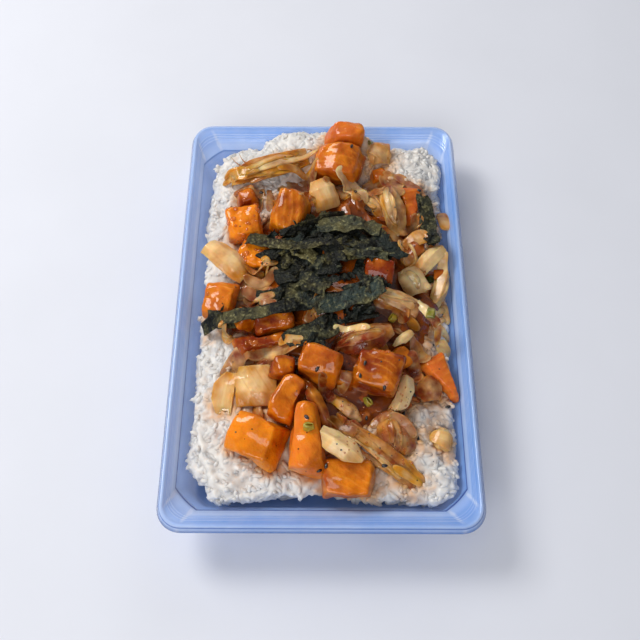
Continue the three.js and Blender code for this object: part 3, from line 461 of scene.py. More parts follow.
# The soaked strips fill the gaps over this oval on plan.
GAP_AREA = Oval(4, -2, 46, 76)
GAP_STRIPS = Strewn((10, 24), (-0.6, 0.8), (3.5, 8), 40)
BED_STRIPS = Strewn((9, 20), (0.2, 1.2), (3.5, 7), 30)

# Loose flakes of nori fill this oval on plan, and no soaked strips are strewn over it.
NORI_AREA = Oval(4, 18, 24, 22)

# Long cut strips of nori: route on plan, width, roll in degrees, how blue and how light, the
# lightness mixing own tone with painted light and shade as on the sheets.
RIBBONS = [
    ([(-54, -12), (-40, -13), (-26, -14), (-11, -10)], 6, 0, 0.1, 0.35),
    ([(-35, 28), (-15, 21), (5, 20)], 5.5, -10, 0.1, 0.45),
    ([(-18, 28), (-3, 35), (11, 45)], 3.5, 60, 0, 0.0),
    ([(-3, -11), (11, -7), (27, -3)], 8, 10, 1, 0.35),
    ([(48, 58), (52, 48), (52, 28)], 5, 15, 0.3, 0.35),
    ([(-2, 34), (12, 33), (27, 31)], 10, -10, 0.5, 0.6),
]

# The small bubbles in the film of sauce lie within this width and depth on plan.
BUBBLES = ((8, 44), (-78, -46))

# Lights: name, place in metres, size, share of the key's power, and tint.
LIGHTS = [
    ("key", (-0.62, 0.36, 0.8), (0.42, 0.42), 1.05, (1.0, 0.985, 0.96)),
    ("front", (-0.3, -0.9, 0.8), (0.9, 0.5), 0.95, (0.98, 0.99, 1.0)),
    ("back", (0.2, 0.95, 0.7), (0.8, 0.5), 0.22, (0.98, 0.99, 1.0)),
]
FLOOR_HALF = 4
CAMERA_LENS = 50
CAMERA_PLACE = (0.0, -0.2094, 0.373)
CAMERA_TURN = (29.9, 0, 0.26)


# ---------------------------------------------------------------- colours and shader maths

def screen(red, green, blue):
    """A colour as on a screen, from parts of 0 to 255, each as a share of one."""
    return red / 255, green / 255, blue / 255


def paint(colour):
    """A colour as on a screen as the light values that shaders take."""
    light = [s / 12.92 if s <= 0.04045 else ((s + 0.055) / 1.055) ** 2.4 for s in colour]
    return (*light, 1.0)


class Signal:
    """An output socket of a material. Arithmetic on it adds Math nodes."""

    def __init__(self, finish, socket):
        self.finish = finish
        self.socket = socket

    def maths(self, operation, *values, clamp=False):
        settings = {"operation": operation, "use_clamp": clamp}
        return self.finish.node("ShaderNodeMath", settings, dict(enumerate(values)))

    def __add__(self, other):
        return self.maths("ADD", self, other)

    def __radd__(self, other):
        return self.maths("ADD", other, self)

    def __sub__(self, other):
        return self.maths("SUBTRACT", self, other)

    def __rsub__(self, other):
        return self.maths("SUBTRACT", other, self)

    def __mul__(self, other):
        return self.maths("MULTIPLY", self, other)

    def __rmul__(self, other):
        return self.maths("MULTIPLY", other, self)

    def clamped(self):
        return self.maths("ADD", self, 0.0, clamp=True)

    def sine(self):
        return self.maths("SINE", self)

    def step(self, low, high):
        """0 below low, 1 above high, and smooth between them."""
        settings = {"interpolation_type": "SMOOTHSTEP"}
        values = {"Value": self, "From Min": low, "From Max": high}
        return self.finish.node("ShaderNodeMapRange", settings, values)


class Finish:
    """A material round one Principled shader.

    coat is the clear coat's weight and roughness. inside says how light spreads under the surface:
    its share, its reach by colour, and its scale in metres.
    """

    def __init__(self, name, roughness=0.5, specular=0.5, coat=(0.0, 0.03), inside=None):
        self.material = bpy.data.materials.new(name)
        self.material.use_nodes = True
        self.tree = self.material.node_tree
        self.shader = self.tree.nodes["Principled BSDF"]
        self.feed(roughness=roughness, specular_ior_level=specular, coat_weight=coat[0],
                  coat_roughness=coat[1])
        if inside:
            weight, radius, scale = inside
            self.feed(subsurface_weight=weight, subsurface_radius=radius, subsurface_scale=scale)

    def fill(self, socket, value):
        if isinstance(value, Signal):
            self.tree.links.new(value.socket, socket)
        else:
            socket.default_value = value

    def node(self, kind, settings=None, values=None, output=0):
        """Adds a node, makes its settings, then fills its sockets with values or signals."""
        made = self.tree.nodes.new(kind)
        for setting, value in (settings or {}).items():
            setattr(made, setting, value)
        for socket, value in (values or {}).items():
            self.fill(made.inputs[socket], value)
        return Signal(self, made.outputs[output])

    def feed(self, **signals):
        """Feeds the shader: base_color=signal fills its Base Color socket."""
        for name, signal in signals.items():
            socket = name.replace("_", " ").title().replace("Ior", "IOR")
            self.fill(self.shader.inputs[socket], signal)

    def place(self, stretch=(1, 1, 1), turn=(0, 0, 0)):
        """Where on the object, in millimetres, turned and stretched."""
        where = self.node("ShaderNodeTexCoord", output="Object")
        scale = [part / MM for part in stretch]
        values = {"Vector": where, "Rotation": [math.radians(t) for t in turn], "Scale": scale}
        return self.node("ShaderNodeMapping", None, values)

    def noise(self, size, detail=2.0, place=None, twist=0.0):
        values = {"Vector": place or self.place(), "Scale": 1 / size, "Detail": detail,
                  "Distortion": twist}
        return self.node("ShaderNodeTexNoise", None, values)

    def specks(self, apart, radius, share):
        """Small round dots, about one in each cell of that width, kept in a share of the cells."""
        values = {"Vector": self.place(), "Scale": 1 / apart}
        near = self.node("ShaderNodeTexVoronoi", None, values, "Distance")
        cell = self.node("ShaderNodeTexVoronoi", None, values, "Color")
        chosen = self.node("ShaderNodeSeparateColor", None, {"Color": cell})
        return near.maths("LESS_THAN", near, radius / apart) * chosen.maths("LESS_THAN", chosen, share)

    def own(self, name):
        """A value that the piece's mesh holds at each point."""
        return self.node("ShaderNodeAttribute", {"attribute_name": name}, output="Fac")

    def layers(self, ground, *coats):
        """Colours laid over a ground colour: each coat is how much there is of it, and its colour."""
        colour = paint(ground)
        for amount, over in coats:
            values = {0: amount, 6: colour, 7: paint(over)}
            colour = self.node("ShaderNodeMix", {"data_type": "RGBA"}, values, output=2)
        return colour

    def bump(self, height, depth, strength=1.0):
        """A relief of that depth in millimetres."""
        values = {"Height": height, "Distance": depth * MM, "Strength": strength}
        return self.node("ShaderNodeBump", None, values)


# ---------------------------------------------------------------- finishes

WORLD_TINT = screen(232, 234, 240)
SALMON_SPECK = screen(45, 22, 12)
SLICE_SPECK = screen(60, 28, 14)
BED_SPECK = screen(30, 14, 8)
SEED_DARK = screen(14, 12, 14)
SEED_LIGHT = screen(48, 40, 38)
FLOOR_GRAIN = 0.97


def salmon_finish(looks):
    finish = Finish("Salmon", 0.4, 0.08, coat=(0.5, 0.03), inside=(0.35, (1.0, 0.3, 0.05), 0.005))
    drift = finish.noise(12, 2)
    cloud = finish.noise(4, 3)
    # The tone mixes the flesh's own tone with painted shade on pieces in shade, and the pink mixes paler
    # flesh with a painted reflection of the light on the tops.
    tone = (finish.own("tone") + (drift - 0.5) * 1.8 + (cloud - 0.5) * 0.6).clamped()
    pink = finish.own("pink") * finish.noise(14, 1, finish.place(turn=(20, 0, 0))).step(0.3, 0.55)
    wave = finish.own("stripe")
    fat = wave.step(0.2, 1.0) * finish.own("fat") * finish.noise(6, 2).step(0.4, 0.6)
    glaze = finish.noise(8, 1, finish.place(turn=(50, 20, 0))).step(0.56, 0.72)
    flesh = finish.layers(
        looks.deep,
        (tone, looks.bright),
        (pink * 0.7, looks.pink),
        (fat * 0.4, looks.fat),
        (glaze * 0.4, looks.glaze),
        (finish.specks(3.2, 0.34, 0.16), SALMON_SPECK),
    )
    wet = finish.noise(4.5, 1) + finish.noise(1.8, 2, twist=0.5) * 0.8
    relief = wave * finish.own("fat") * 0.12 + wet
    finish.feed(base_color=flesh, normal=finish.bump(relief, 1.0, 0.6))
    return finish.material


def slice_finish(looks):
    finish = Finish("Onion and stem slices", 0.32, 0.12, coat=(0.5, 0.05),
                    inside=(0.5, (1.0, 0.5, 0.15), 0.003))
    drift = finish.noise(8, 2)
    along, across, edge = finish.own("along"), finish.own("across"), finish.own("edge")
    fibre = finish.node("ShaderNodeCombineXYZ", None, {"X": across * 0.7, "Y": along * 0.05})
    streak = finish.noise(1, 2, fibre)
    veins = (across * 4.4 + drift * 9).sine()
    ripe = finish.own("ripe") + (edge - 0.5) * 0.5 + (drift - 0.5) * 2.0 + (streak - 0.5) * 0.4
    wash = finish.noise(6, 3, finish.place(turn=(0, 0, 60)))
    soaked = (finish.own("soaked") * (wash * 2.4 - 0.25) + (wash - 0.62) * 1.6).clamped()
    blush = finish.own("blush") * finish.noise(7, 1, finish.place(turn=(30, 0, 0))).step(0.3, 0.6)
    flesh = finish.layers(
        looks.white,
        (ripe.clamped(), looks.amber),
        (soaked, looks.soaked),
        (blush * 0.65, looks.blush),
        (veins.step(0.6, 1.0) * 0.06 + streak.step(0.58, 0.72) * 0.08, looks.vein),
        (edge.step(0.93, 0.99) * 0.15, looks.white),
        (finish.specks(3.6, 0.34, 0.09), SLICE_SPECK),
    )
    relief = streak * 0.25 + finish.noise(3.4, 1) * 0.8 - veins * 0.03
    clear = 1 - (0.14 + finish.own("soaked") * 0.3) * finish.noise(5, 1).step(0.25, 0.6)
    finish.feed(base_color=flesh, alpha=clear, normal=finish.bump(relief, 0.7, 0.6))
    return finish.material


def nori_finish(looks):
    finish = Finish("Nori", specular=0.25)
    cloud = finish.noise(9, 2)
    fleck = finish.noise(1.5, 4)
    # The lightness mixes the nori's own tone with painted light and shade.
    light = (finish.own("light") + (cloud - 0.5) * 2.6 + (fleck - 0.5) * 1.1 - 0.1).clamped()
    leaf = finish.layers(
        looks.dark,
        (light, looks.mid),
        (finish.own("blue") * finish.noise(6, 2).step(0.35, 0.6) * 0.8, looks.blue),
        (fleck.step(0.5, 0.72) * (0.1 + light * 0.7), looks.fleck),
        # Painted shade: dark patches that stand in for the shadows between the sheets.
        (finish.noise(3.2, 3, twist=1.2).step(0.58, 0.66) * 0.8, looks.dark),
    )
    wrinkles = finish.noise(2.4, 4, twist=0.8) + finish.noise(0.8, 2) * 0.3
    finish.feed(base_color=leaf, roughness=0.38 + cloud * 0.3, normal=finish.bump(wrinkles, 1.5, 1.0))
    return finish.material


def bed_finish(looks):
    finish = Finish("Soaked onion and sauce", 0.2, 0.3, coat=(0.5, 0.05),
                    inside=(0.2, (1.0, 0.35, 0.1), 0.003))
    hollow = finish.own("hollow")
    shade = (0.4 + hollow * 0.9 + (finish.noise(8, 2) - 0.5) * 1.2).clamped()
    raised = (0 - hollow).step(0.1, 0.7) * finish.noise(7, 2, finish.place(turn=(0, 40, 0))).step(0.4, 0.6)
    mass = finish.layers(
        looks.onion,
        (shade, looks.sauce),
        (raised * 0.7, looks.pale),
        (finish.specks(3.4, 0.4, 0.12), BED_SPECK),
    )
    relief = finish.noise(3.0, 2) + finish.noise(1.2, 2) * 0.2
    finish.feed(base_color=mass, normal=finish.bump(relief, 0.5, 0.6))
    return finish.material


def rice_finish(looks):
    finish = Finish("Rice", 0.42, 0.3, inside=(0.5, (1.0, 0.92, 0.8), 0.0018))
    drift = finish.noise(11, 3)
    blots = finish.noise(4, 3, finish.place(turn=(0, 40, 0)))
    soak = (finish.own("stain") + (drift - 0.5) * 0.5 + (blots - 0.5) * 1.4 - 0.1).clamped()
    # Painted shade: the rice is darkened towards the shade colour in its hollows; random greyer patches
    # take the same colour.
    hollow = finish.own("hollow").step(-0.15, 0.45)
    starch = finish.layers(
        looks.white,
        (soak, looks.stained),
        (hollow * 0.75 + finish.noise(4, 2).step(0.5, 0.7) * 0.25, looks.shade),
    )
    finish.feed(base_color=starch, normal=finish.bump(finish.noise(1.2, 2), 0.12, 0.4))
    return finish.material


def tray_finish(looks):
    finish = Finish("Tray plastic", 0.16, coat=(0.3, 0.05))
    wall, line = finish.own("wall"), finish.own("line")
    # pale is painted light: highlights on the lip and ridges, lit creases, and light that lifts the shade,
    # in random streaks.
    light_streaks = finish.noise(14, 3, finish.place((1, 0.4, 1)))
    pale = (finish.own("pale") * 0.8 + (light_streaks - 0.5) * 0.8).clamped()
    sheet = finish.layers(looks.brim, (wall, looks.wall), (pale, looks.pale), (line, looks.line))
    clear = (0.5 + wall * 0.06 + pale * 0.1 + line * 0.38).clamped()
    finish.feed(base_color=sheet, alpha=clear, normal=finish.bump(finish.noise(14, 1), 0.3, 0.25))
    return finish.material


def seed_finish():
    finish = Finish("Black seeds", 0.35, coat=(0.4, 0.03))
    husk = finish.layers(SEED_DARK, (finish.noise(0.5, 2).step(0.4, 0.7), SEED_LIGHT))
    finish.feed(base_color=husk, normal=finish.bump(finish.noise(0.4, 2), 0.1, 0.6))
    return finish.material


def chip_finish(looks):
    finish = Finish("Spring onion", 0.3, coat=(0.5, 0.03), inside=(0.3, (1.0, 0.2, 0.1), 0.0015))
    green = (finish.own("green") + (finish.noise(2.5, 2) - 0.5) * 0.8).clamped()
    leaf = finish.layers(looks.young, (green, looks.green))
    finish.feed(base_color=leaf, normal=finish.bump(finish.noise(1.0, 2), 0.25, 0.5))
    return finish.material


def sauce_finish(looks):
    finish = Finish("Sauce beads", 0.06, coat=(1.0, 0.03))
    depth = finish.noise(2, 2)
    finish.feed(base_color=finish.layers(looks.bead, (depth, looks.bead_deep)), alpha=0.35 + depth * 0.3)
    return finish.material


def film_finish(looks):
    finish = Finish("Sauce film", 0.12, coat=(1.0, 0.03))
    depth = finish.noise(9, 3)
    film = finish.layers(looks.film_thin, (depth.step(0.35, 0.65), looks.sauce))
    wet = finish.bump(finish.noise(4, 2, twist=0.8), 0.9, 0.7)
    finish.feed(base_color=film, alpha=0.35 + depth * 0.45, normal=wet)
    return finish.material


def floor_finish(looks):
    finish = Finish("Pale floor", 0.6, 0.2)
    darker = [part * FLOOR_GRAIN for part in looks.floor]
    finish.feed(base_color=finish.layers(looks.floor, (finish.noise(60, 3), darker)))
    return finish.material


# ---------------------------------------------------------------- shapes

def mm(*parts):
    return Vector([part * MM for part in parts])


def held(value):
    """The value, held between 0 and 1."""
    return min(1.0, max(0.0, value))


def turned(degrees, axis, size=4):
    return Matrix.Rotation(math.radians(degrees), size, axis)


def scaled(*parts):
    return Matrix.Diagonal((*parts, 1))


def as_mesh(name, bm):
    """Turns a finished shape into a mesh."""
    mesh = bpy.data.meshes.new(name)
    bm.to_mesh(mesh)
    bm.free()
    return mesh


def placed(name, data):
    """An object of the scene that shows the mesh, light or camera."""
    made = bpy.data.objects.new(name, data)
    bpy.context.scene.collection.objects.link(made)
    return made


def merged_copy(node):
    """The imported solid's shape as one closed skin, ready to be refined."""
    bm = bmesh.new()
    bm.from_mesh(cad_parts[node].data)
    bmesh.ops.remove_doubles(bm, verts=bm.verts, dist=0.001 * MM)
    return bm


def remeshed(bm, voxel):
    """The same closed shape in even quads of that width in millimetres."""
    blank = placed("blank", as_mesh("blank", bm))
    remesh = blank.modifiers.new("even", "REMESH")
    remesh.mode = "VOXEL"
    remesh.voxel_size = voxel * MM
    ready = blank.evaluated_get(bpy.context.evaluated_depsgraph_get())
    even = bmesh.new()
    even.from_mesh(ready.to_mesh())
    bpy.data.meshes.remove(blank.data)
    return even


def smoothed(bm, times):
    for _ in range(times):
        bmesh.ops.smooth_vert(bm, verts=bm.verts, factor=0.5, use_axis_x=True, use_axis_y=True,
                              use_axis_z=True)


def roughened(bm, moves, salt=0.0, swell=0.0):
    """Moves each point along its normal. moves are pairs of a wave's length and its depth."""
    bm.normal_update()
    shift = Vector((salt, -salt, 2 * salt))
    for vert in bm.verts:
        depth = swell + sum(d * noise.noise(vert.co / (w * MM) + shift) for w, d in moves)
        vert.co += vert.normal * depth * MM


def crumpled(bm, moves, salt=0.0):
    """Moves each point any way, so that edges tear too."""
    shift = Vector((salt, 2 * salt, -salt))
    for vert in bm.verts:
        start = vert.co.copy()
        for length, depth in moves:
            vert.co += noise.noise_vector(start / (length * MM) + shift) * depth * MM


def gathering(*names):
    """An empty mesh to make or gather things in, with a value of each name at its points."""
    whole = bmesh.new()
    for name in names:
        whole.verts.layers.float.new(name)
    return whole


def marked(bm, **values):
    """Gives every point the same value under each name."""
    for name, value in values.items():
        layer = bm.verts.layers.float.new(name)
        for vert in bm.verts:
            vert[layer] = value


def own_axes(bm):
    """A shape's middle, and its long, broad and thin directions."""
    points = np.array([vert.co for vert in bm.verts])
    _, directions = np.linalg.eigh(np.cov((points - points.mean(0)).T))
    thin, broad, long = (Vector(directions[:, column]) for column in range(3))
    return Vector(points.mean(0)), long, broad, thin


def mark_fibres(bm, long, broad):
    """Notes how far each point lies along and across a slice, and how near its edge it is."""
    layers = [bm.verts.layers.float.new(name) for name in ("along", "across", "edge")]
    spots = [(vert.co.dot(long), vert.co.dot(broad)) for vert in bm.verts]
    low = [min(part) for part in zip(*spots)]
    high = [max(part) for part in zip(*spots)]
    for vert, spot in zip(bm.verts, spots):
        shares = [2 * (part - a) / (b - a) - 1 for part, a, b in zip(spot, low, high)]
        edge = min(1.0, math.hypot(*shares))
        for layer, value in zip(layers, (spot[0] / MM, spot[1] / MM, edge)):
            vert[layer] = value


def mark_hollows(bm, reach=12):
    """Notes how deep each point lies below the smoothed shape round it."""
    before = [vert.co.copy() for vert in bm.verts]
    smoothed(bm, reach)
    bm.normal_update()
    layer = bm.verts.layers.float.new("hollow")
    for vert, start in zip(bm.verts, before):
        vert[layer] = (vert.co - start).dot(vert.normal) / MM
        vert.co = start


def piece(name, bm, material, replaces=()):
    """Makes the shape an object of the bowl."""
    mesh = as_mesh(name, bm)
    mesh.shade_smooth()
    mesh.materials.append(material)
    made = placed(name, mesh)
    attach(made, BODY)
    if replaces:
        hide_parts(*replaces)
    return made


class Ground:
    """The surface of some pieces, to lay things on and to keep them apart."""

    def __init__(self, objects):
        bm = bmesh.new()
        for made in objects:
            bm.from_mesh(made.data)
        self.tree = BVHTree.FromBMesh(bm)
        bm.free()

    def under(self, x, y):
        """The highest point at x and y in millimetres, and its normal; None where there is none."""
        point, normal, _, _ = self.tree.ray_cast(Vector((x * MM, y * MM, 1)), DOWN)
        return point, normal

    def holds(self, point):
        """Whether a point lies inside a piece: more skins close over it than open."""
        depth = 0
        for _ in range(SKINS):
            point, normal, _, _ = self.tree.ray_cast(point, UP)
            if point is None:
                break
            depth += 1 if normal.z > 0 else -1
            point = point + mm(0, 0, 0.01)
        return depth > 0

    def seat(self, x, y, reach=2):
        """A point to lay a thing of that reach on, and the mean normal round it."""
        up = Vector()
        top = None
        for dx, dy in ((0, 0), (reach, 0), (-reach, 0), (0, reach), (0, -reach)):
            point, normal = self.under(x + dx, y + dy)
            if point is not None:
                up += normal
                top = top or point
        return top, up.normalized()


def laid(point, normal, turn=0):
    """The matrix that lays a shape made flat at the origin on a surface."""
    lift = normal.to_track_quat("Z", "Y").to_matrix().to_4x4()
    level = Vector((1, 0, 0)) @ lift.to_3x3()
    flat = math.atan2(level.y, level.x)
    return Matrix.Translation(point) @ lift @ Matrix.Rotation(math.radians(turn) + flat, 4, "Z")


def moved(bm, matrix):
    bmesh.ops.transform(bm, matrix=matrix, verts=bm.verts)


def toppings():
    """Every piece on the rice that is made so far."""
    return [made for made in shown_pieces() if made.name.startswith(TOPPINGS)]


def copied_into(bm, shape, matrix):
    """Adds a copy of a mesh to the bmesh, in place."""
    shape.transform(matrix)
    bm.from_mesh(shape)
    shape.transform(matrix.inverted())


def added(whole, bm):
    """Adds a finished bit to the mesh that joins its kind."""
    whole.from_mesh(as_mesh("bit", bm))


# ---------------------------------------------------------------- tray

def ring_spot(half_x, half_y, corner, arc, index):
    """The point of a tray level's outline with that index, anticlockwise from the right side."""
    side, step = divmod(index, TRAY_CORNER_STEPS + 1)
    share = step / TRAY_CORNER_STEPS
    sign_x = 1 if side in (0, 3) else -1
    sign_y = 1 if side < 2 else -1
    start = side * math.pi / 2
    ways = [Vector((math.cos(start + part * math.pi / 2), math.sin(start + part * math.pi / 2)))
            for part in (0, share, 1)]
    cut = ways[0].lerp(ways[2], share)
    middle = Vector((sign_x * (half_x - corner), sign_y * (half_y - corner)))
    return middle + cut.lerp(ways[1], arc) * corner


def level_between(low, high, share, lift=0.0, **changes):
    """A tray level on the way from one level to the next, with some of its values changed."""
    level = TrayLevel(*(a + (b - a) * share for a, b in zip(low, high)))
    return level._replace(z=level.z + lift, **changes)


def tray_profile():
    """The levels that the sheet runs through, from its floor to its lip."""
    floor, foot, step_low, step_high, brim, fold, fold_out, lip = TRAY_LEVELS
    ridges = []
    # Each ridge is painted: shade on its sides and a highlight on its top.
    for number in range(TRAY_RIDGES):
        share = 0.5 + 0.1 * number
        ridges.append(level_between(brim, fold, share, line=0.0, pale=0.1, wall=0.25))
        ridges.append(level_between(brim, fold, share + 0.03, lift=0.2, line=0.0, pale=0.9))
        ridges.append(level_between(brim, fold, share + 0.06, line=0.15, pale=0.1, wall=0.25))
    # The dark lines are painted shade where the folds are seen edge-on, and the pale bands painted
    # highlights.
    return [
        floor, foot, step_low, step_high,
        level_between(step_high, brim, 0.93, line=0.0),
        brim,
        level_between(brim, fold, 0.04, line=0.95, pale=0.0, wall=0.3),
        level_between(brim, fold, 0.07, line=0.0, pale=0.8, wall=0.2),
        level_between(brim, fold, 0.3, line=0.0, pale=0.9, wall=0.1),
        *ridges,
        level_between(brim, fold, 0.95, line=0.0, pale=0.4, wall=0.0),
        fold, fold_out,
        level_between(fold_out, lip, 0.2, line=0.8, pale=0.0),
        level_between(fold_out, lip, 0.4, line=0.0, pale=0.9),
        lip,
    ]


def tray_shape():
    """The thin sheet, drawn up level by level from its floor to its lip."""
    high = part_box("tray")[1]
    half_x, half_y = high.x / MM, high.y / MM
    count = 4 * (TRAY_CORNER_STEPS + 1)
    bm = bmesh.new()
    spot = bm.verts.layers.int.new("spot")
    row = bm.verts.layers.int.new("row")
    wall, line, pale = (bm.verts.layers.float.new(name) for name in ("wall", "line", "pale"))
    bmesh.ops.create_circle(bm, segments=count, radius=MM)
    for index, vert in enumerate(bm.verts):
        vert[spot] = index
    edges = bm.edges[:]
    ring = bm.verts[:]
    for number, level in enumerate(tray_profile()):
        if number:
            made = bmesh.ops.extrude_edge_only(bm, edges=edges)["geom"]
            ring = [part for part in made if isinstance(part, bmesh.types.BMVert)]
            edges = [part for part in made if isinstance(part, bmesh.types.BMEdge)]
            edges.sort(key=lambda edge: sorted(vert[spot] for vert in edge.verts))
        slope = held((level.z - BRIM_FROM) / 2) * held((BRIM_TO - level.z) / 2)
        for vert in ring:
            vert[row] = number
            place = ring_spot(half_x - level.inset_x, half_y - level.inset_y, level.corner,
                              level.arc, vert[spot])
            vert.co = mm(place.x, place.y, level.z)
            step = vert[spot] % (TRAY_CORNER_STEPS + 1)
            # Painted light on the creases at each corner's ends, and painted shade on the facets between
            # them.
            crease = slope * (CREASE_PAINTED_LIGHT if step in (1, TRAY_CORNER_STEPS - 1) else 0.0)
            facet = slope * (FACET_PAINTED_SHADE if 1 < step < TRAY_CORNER_STEPS - 1 else 0.0)
            vert[wall] = level.wall + facet
            # The painted dark edge along the folds fades towards the back.
            vert[line] = level.line * (1 - LINE_FADE * max(0.0, place.y / half_y))
            vert[pale] = level.pale * (1 - facet) + crease
    bm.verts.sort(key=lambda vert: vert[row] * count + vert[spot])
    bm.verts.index_update()
    bm.faces.sort(key=lambda face: min(v.index for v in face.verts) * len(bm.verts)
                  + max(v.index for v in face.verts))
    floor = [edge for edge in bm.edges if edge.is_boundary and edge.verts[0].co.z < 1.5 * MM]
    bmesh.ops.contextual_create(bm, geom=floor)
    bmesh.ops.recalc_face_normals(bm, faces=bm.faces)
    if min(bm.faces, key=lambda face: face.calc_center_median().z).normal.z < 0:
        bmesh.ops.reverse_faces(bm, faces=bm.faces)
    bmesh.ops.solidify(bm, geom=bm.faces[:], thickness=TRAY_SHEET * MM)
    return bm


# ---------------------------------------------------------------- rice

def grain_shape(rng):
    """One cooked grain along X: plump, a little bent, blunt at its ends."""
    bm = bmesh.new()
    bmesh.ops.create_uvsphere(bm, u_segments=6, v_segments=4, radius=0.5, matrix=turned(90, "Y"))
    bend = rng.uniform(-GRAIN_BEND, GRAIN_BEND)
    blunt = rng.uniform(*GRAIN_BLUNT)
    for vert in bm.verts:
        along = 2 * vert.co.x
        girth = 1 + (blunt - 1) * along * along
        side = vert.co.y * GRAIN_WIDTH * girth + bend * (1 - along * along)
        vert.co = mm(vert.co.x * GRAIN_LENGTH, side, vert.co.z * GRAIN_HEIGHT * girth)
    bmesh.ops.recalc_face_normals(bm, faces=bm.faces)
    return as_mesh("grain", bm)


def rice_core(settings):
    """The heap under the grains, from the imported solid, with notches in its steep sides."""
    bm = remeshed(merged_copy("rice"), RICE_VOXEL)
    smoothed(bm, 4)
    bm.normal_update()
    for vert in bm.verts:
        vert.co -= vert.normal * settings.sink * MM
    roughened(bm, HEAP_WAVES)
    bm.normal_update()
    for vert in bm.verts:
        steep = held(1 - abs(vert.normal.z) / NOTCH_LEVEL)
        notch = max(0.0, noise.noise(vert.co / (NOTCH_WAVE * MM)))
        vert.co -= vert.normal * notch * steep * NOTCH_DEPTH * MM
    bm.normal_update()
    return bm


def grain_spots(bm, apart, rng):
    """Points spread over the upper faces, one in each cell of that width, with their normals."""
    faces = [face for face in bm.faces if face.normal.z > 0.05]
    rng.shuffle(faces)
    taken = set()
    spots = []
    for face in faces:
        point = face.calc_center_median()
        cell = tuple(math.floor(part / (apart * MM)) for part in point)
        if cell not in taken:
            taken.add(cell)
            spots.append((point, face.normal.copy()))
    return spots


def grain_fits(matrix, covers, tray):
    """Whether a grain lies clear of the toppings and the tray."""
    points = [matrix @ mm(share * GRAIN_LENGTH, 0, 0) for share in GRAIN_SHARES]
    return not any(covers.holds(point) or tray.holds(point) for point in points)


def buried(point, covers):
    """Whether a topping lies close above the point."""
    above, _, _, distance = covers.tree.ray_cast(point, UP, BURIED * MM)
    return above is not None and distance < BURIED * MM


def rice_grains(core, apart, lift, covers, tray):
    """A mesh of grains strewn over the heap."""
    rng = random.Random(SEED + round(10 * apart))
    kinds = [grain_shape(rng) for _ in range(GRAIN_KINDS)]
    heap = bmesh.new()
    for point, normal in grain_spots(core, apart, rng):
        size = rng.uniform(*GRAIN_SIZE)
        place = point + normal * (lift + rng.uniform(*GRAIN_JITTER)) * MM
        matrix = laid(place, normal, rng.uniform(0, 360)) @ turned(rng.gauss(0, GRAIN_TILT), "Y")
        matrix @= scaled(size, size, size)
        if not buried(place, covers) and grain_fits(matrix, covers, tray):
            copied_into(heap, rng.choice(kinds), matrix)
    return heap


def clumped(core, grains):
    """The heap and its grains stuck together in one soft skin, plain underneath."""
    added(core, grains)
    bm = remeshed(core, CLUMP_VOXEL)
    smoothed(bm, 1)
    bm.normal_update()
    low = min(vert.co.z for vert in bm.verts)
    below = [face for face in bm.faces if face.normal.z < -0.9]
    flat = [face for face in below if face.calc_center_median().z < low + 2 * MM]
    bm.verts.index_update()
    bm.edges.index_update()
    inner = sorted({vert for face in flat for vert in face.verts}, key=lambda vert: vert.index)
    edges = sorted({edge for face in flat for edge in face.edges}, key=lambda edge: edge.index)
    for vert in inner:
        vert.co.z = low
    bmesh.ops.dissolve_limit(bm, angle_limit=math.radians(4), verts=inner, edges=edges)
    bmesh.ops.triangulate(bm, faces=[face for face in bm.faces if len(face.verts) > 4])
    mark_hollows(bm, 6)
    return bm


def mark_stain(bm, covers, reach):
    """Notes how much sauce has reached each point of the heap: it spreads further on the right."""
    layer = bm.verts.layers.float.new("stain")
    for vert in bm.verts:
        distance = (covers.tree.find_nearest(vert.co)[0] - vert.co).length / MM
        spread = reach * (STAIN_RIGHT if vert.co.x > STAIN_RIGHT_FROM * MM else 1.0)
        vert[layer] = max(0.0, 1 - distance / spread)


# ---------------------------------------------------------------- toppings

def mark_stripes(bm, turn, fat, salt):
    """Notes the pale stripes of fat, and raises them a little."""
    layer = bm.verts.layers.float.new("stripe")
    angle = math.radians(turn)
    across = Vector((math.cos(angle), math.sin(angle), FAT_SLOPE))
    bm.normal_update()
    for vert in bm.verts:
        drift = FAT_DRIFT * noise.noise(vert.co / (FAT_DRIFT_WAVE * MM) + Vector((salt, 0, 0)))
        wave = math.sin(math.tau * (vert.co.dot(across) / MM / FAT_PITCH + drift / FAT_PITCH))
        vert[layer] = wave
        vert.co += vert.normal * wave * fat * FAT_RISE * MM


def knifed(bm, rng):
    """Cuts slanting facets off a block's corners, as a quick knife does."""
    mid = sum((vert.co for vert in bm.verts), Vector()) / len(bm.verts)
    for _ in range(SALMON_CUTS):
        way = Vector((rng.uniform(-1, 1), rng.uniform(-1, 1), rng.uniform(0.1, 1))).normalized()
        reach = max((vert.co - mid).dot(way) for vert in bm.verts)
        geom = bm.verts[:] + bm.edges[:] + bm.faces[:]
        bmesh.ops.bisect_plane(bm, geom=geom, dist=0.001 * MM, plane_no=way, clear_outer=True,
                               plane_co=mid + way * reach * rng.uniform(*CUT_REACH))
        bmesh.ops.holes_fill(bm, edges=bm.edges[:])


def salmon_piece(name, looks, material):
    bm = merged_copy(name)
    knifed(bm, random.Random(name))
    bm = remeshed(bm, SALMON_VOXEL)
    smoothed(bm, 3)
    salt = 3.7 * len(name) + looks.turn
    roughened(bm, [*SALMON_WAVES, (GLAZE_WAVE, looks.bumps * GLAZE_DEPTH)], salt)
    mark_stripes(bm, looks.turn, looks.fat, salt)
    marked(bm, tone=looks.tone, fat=looks.fat, pink=looks.pink)
    return piece(name + "_cube", bm, material, [name])


